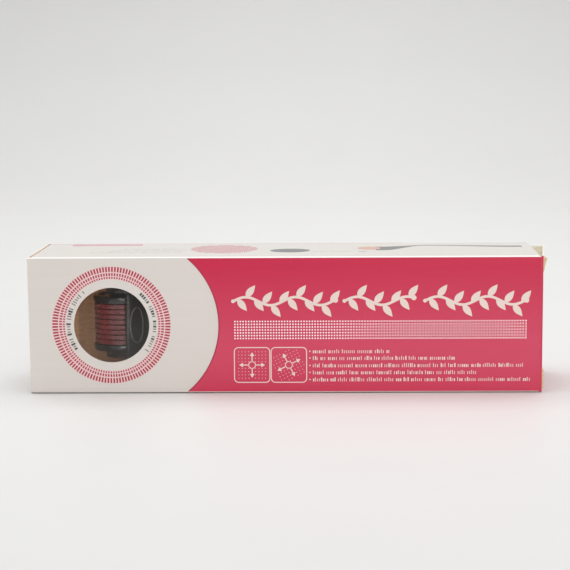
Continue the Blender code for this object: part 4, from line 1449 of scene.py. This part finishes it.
def add_area_light(name, position, target, size, power, colour=(1.0, 1.0, 1.0)):
    data = bpy.data.lights.new(name, "AREA")
    data.shape = "RECTANGLE"
    data.size, data.size_y = size
    data.energy = power
    data.color = colour
    light = bpy.data.objects.new(name, data)
    light.location = position
    light.rotation_euler = (Vector(target) - Vector(position)).to_track_quat("-Z", "Y").to_euler()
    bpy.context.scene.collection.objects.link(light)
    return light


FLOOR_END = 0.62
SWEEP_RADIUS = 0.25
WALL_HEIGHT = 2.2
FLOOR_GAP = 0.30 * MM


def build_stage():
    """A pale seamless sweep: flat floor, a curve, then a wall, with painted shade that darkens it with
    height, towards the front and away from the middle.
    """
    material, tree, shader = new_material("sweep")
    grain = noise_socket(tree, 40 * MM, 3.0)
    pale = mix_colour(tree, grain, (0.757, 0.745, 0.735, 1.0), (0.777, 0.765, 0.755, 1.0))
    # Painted shade: the sweep darkens with height, towards the front and away from the middle.
    rise = math_socket(tree, "POWER", ramp_socket(tree, axis_socket(tree, "Z"), 0.0, 0.11), 0.45)
    upward = math_socket(tree, "MULTIPLY", rise, 0.21)
    forward = ramp_socket(tree, axis_socket(tree, "Y"), -0.05, -0.26, 0.0, 0.09)
    from_centre = math_socket(tree, "ABSOLUTE", axis_socket(tree, "X"), 0.0)
    sideways = ramp_socket(tree, from_centre, 0.05, 0.27, 0.0, 0.05)
    painted_shade = total(tree, upward, forward, sideways)
    tone = mix_colour(tree, painted_shade, pale, (0.0, 0.0, 0.0, 1.0))
    set_inputs(tree, shader, {"Base Color": tone, "Roughness": 0.5})
    profile = [(-2.0, 0.0), (0.0, 0.0), (FLOOR_END, 0.0)]
    for angle in even(0.0, pi / 2, 24)[1:]:
        profile.append((FLOOR_END + sin(angle) * SWEEP_RADIUS, SWEEP_RADIUS - cos(angle) * SWEEP_RADIUS))
    profile.append((FLOOR_END + SWEEP_RADIUS, WALL_HEIGHT))
    bm = bmesh.new()
    rows = [make_row(bm, [Vector((x, y, z)) for x in (-3.0, 3.0)]) for y, z in profile]
    add_rows(bm, rows, wrap=False)
    sweep = finish_mesh("sweep", bm, (material,), radians(60))
    sweep.location.z = -FLOOR_GAP


def build_lights():
    world = bpy.data.worlds.new("studio")
    world.use_nodes = True
    world.node_tree.nodes["Background"].inputs["Color"].default_value = (1.0, 0.99, 0.985, 1.0)
    world.node_tree.nodes["Background"].inputs["Strength"].default_value = 0.56
    bpy.context.scene.world = world
    add_area_light("overhead", (0.0, 0.15, 1.3), (0.0, 0.05, 0.0), (1.8, 1.3), 15.6, (0.965, 1.0, 1.0))
    add_area_light("front_fill", (0.45, -1.25, 0.35), (0.0, 0.0, 0.03), (0.9, 0.6), 5.2)
    inside = WINDOW_CENTRE + Vector((-9.0 * MM, 3.4 * MM, -3.0 * MM))
    target = inside + Vector((-5 * MM, 8 * MM, 0.0))
    fill = add_area_light("window_fill", inside, target, (8 * MM, 22 * MM), 0.00095)
    fill.visible_glossy = False
    bpy.context.scene.view_settings.view_transform = "Standard"


# ----------------------------------------------------------------------- build

def assign(node, material):
    mesh_materials = frame["nodes"][node].data.materials
    mesh_materials.clear()
    mesh_materials.append(material)


build_carton_body()
build_front_print()
build_top_print()
build_back_and_bottom_print()
build_end("right", 0.0, 0.0)
build_torn_board()
build_end("left", pi, LEFT_TUCK_PAST_SQUARE)
build_window_film()
assign("glue_flap", RAW_BOARD)
build_discs()
build_flanges_and_core()
build_axle()
build_yoke()
build_yoke_pads()
build_handle_shell("handle_front", "handle_front_shell", -1)
build_handle_shell("handle_back", "handle_back_shell", 1)
build_tray()
build_stage()
build_lights()
build_camera()
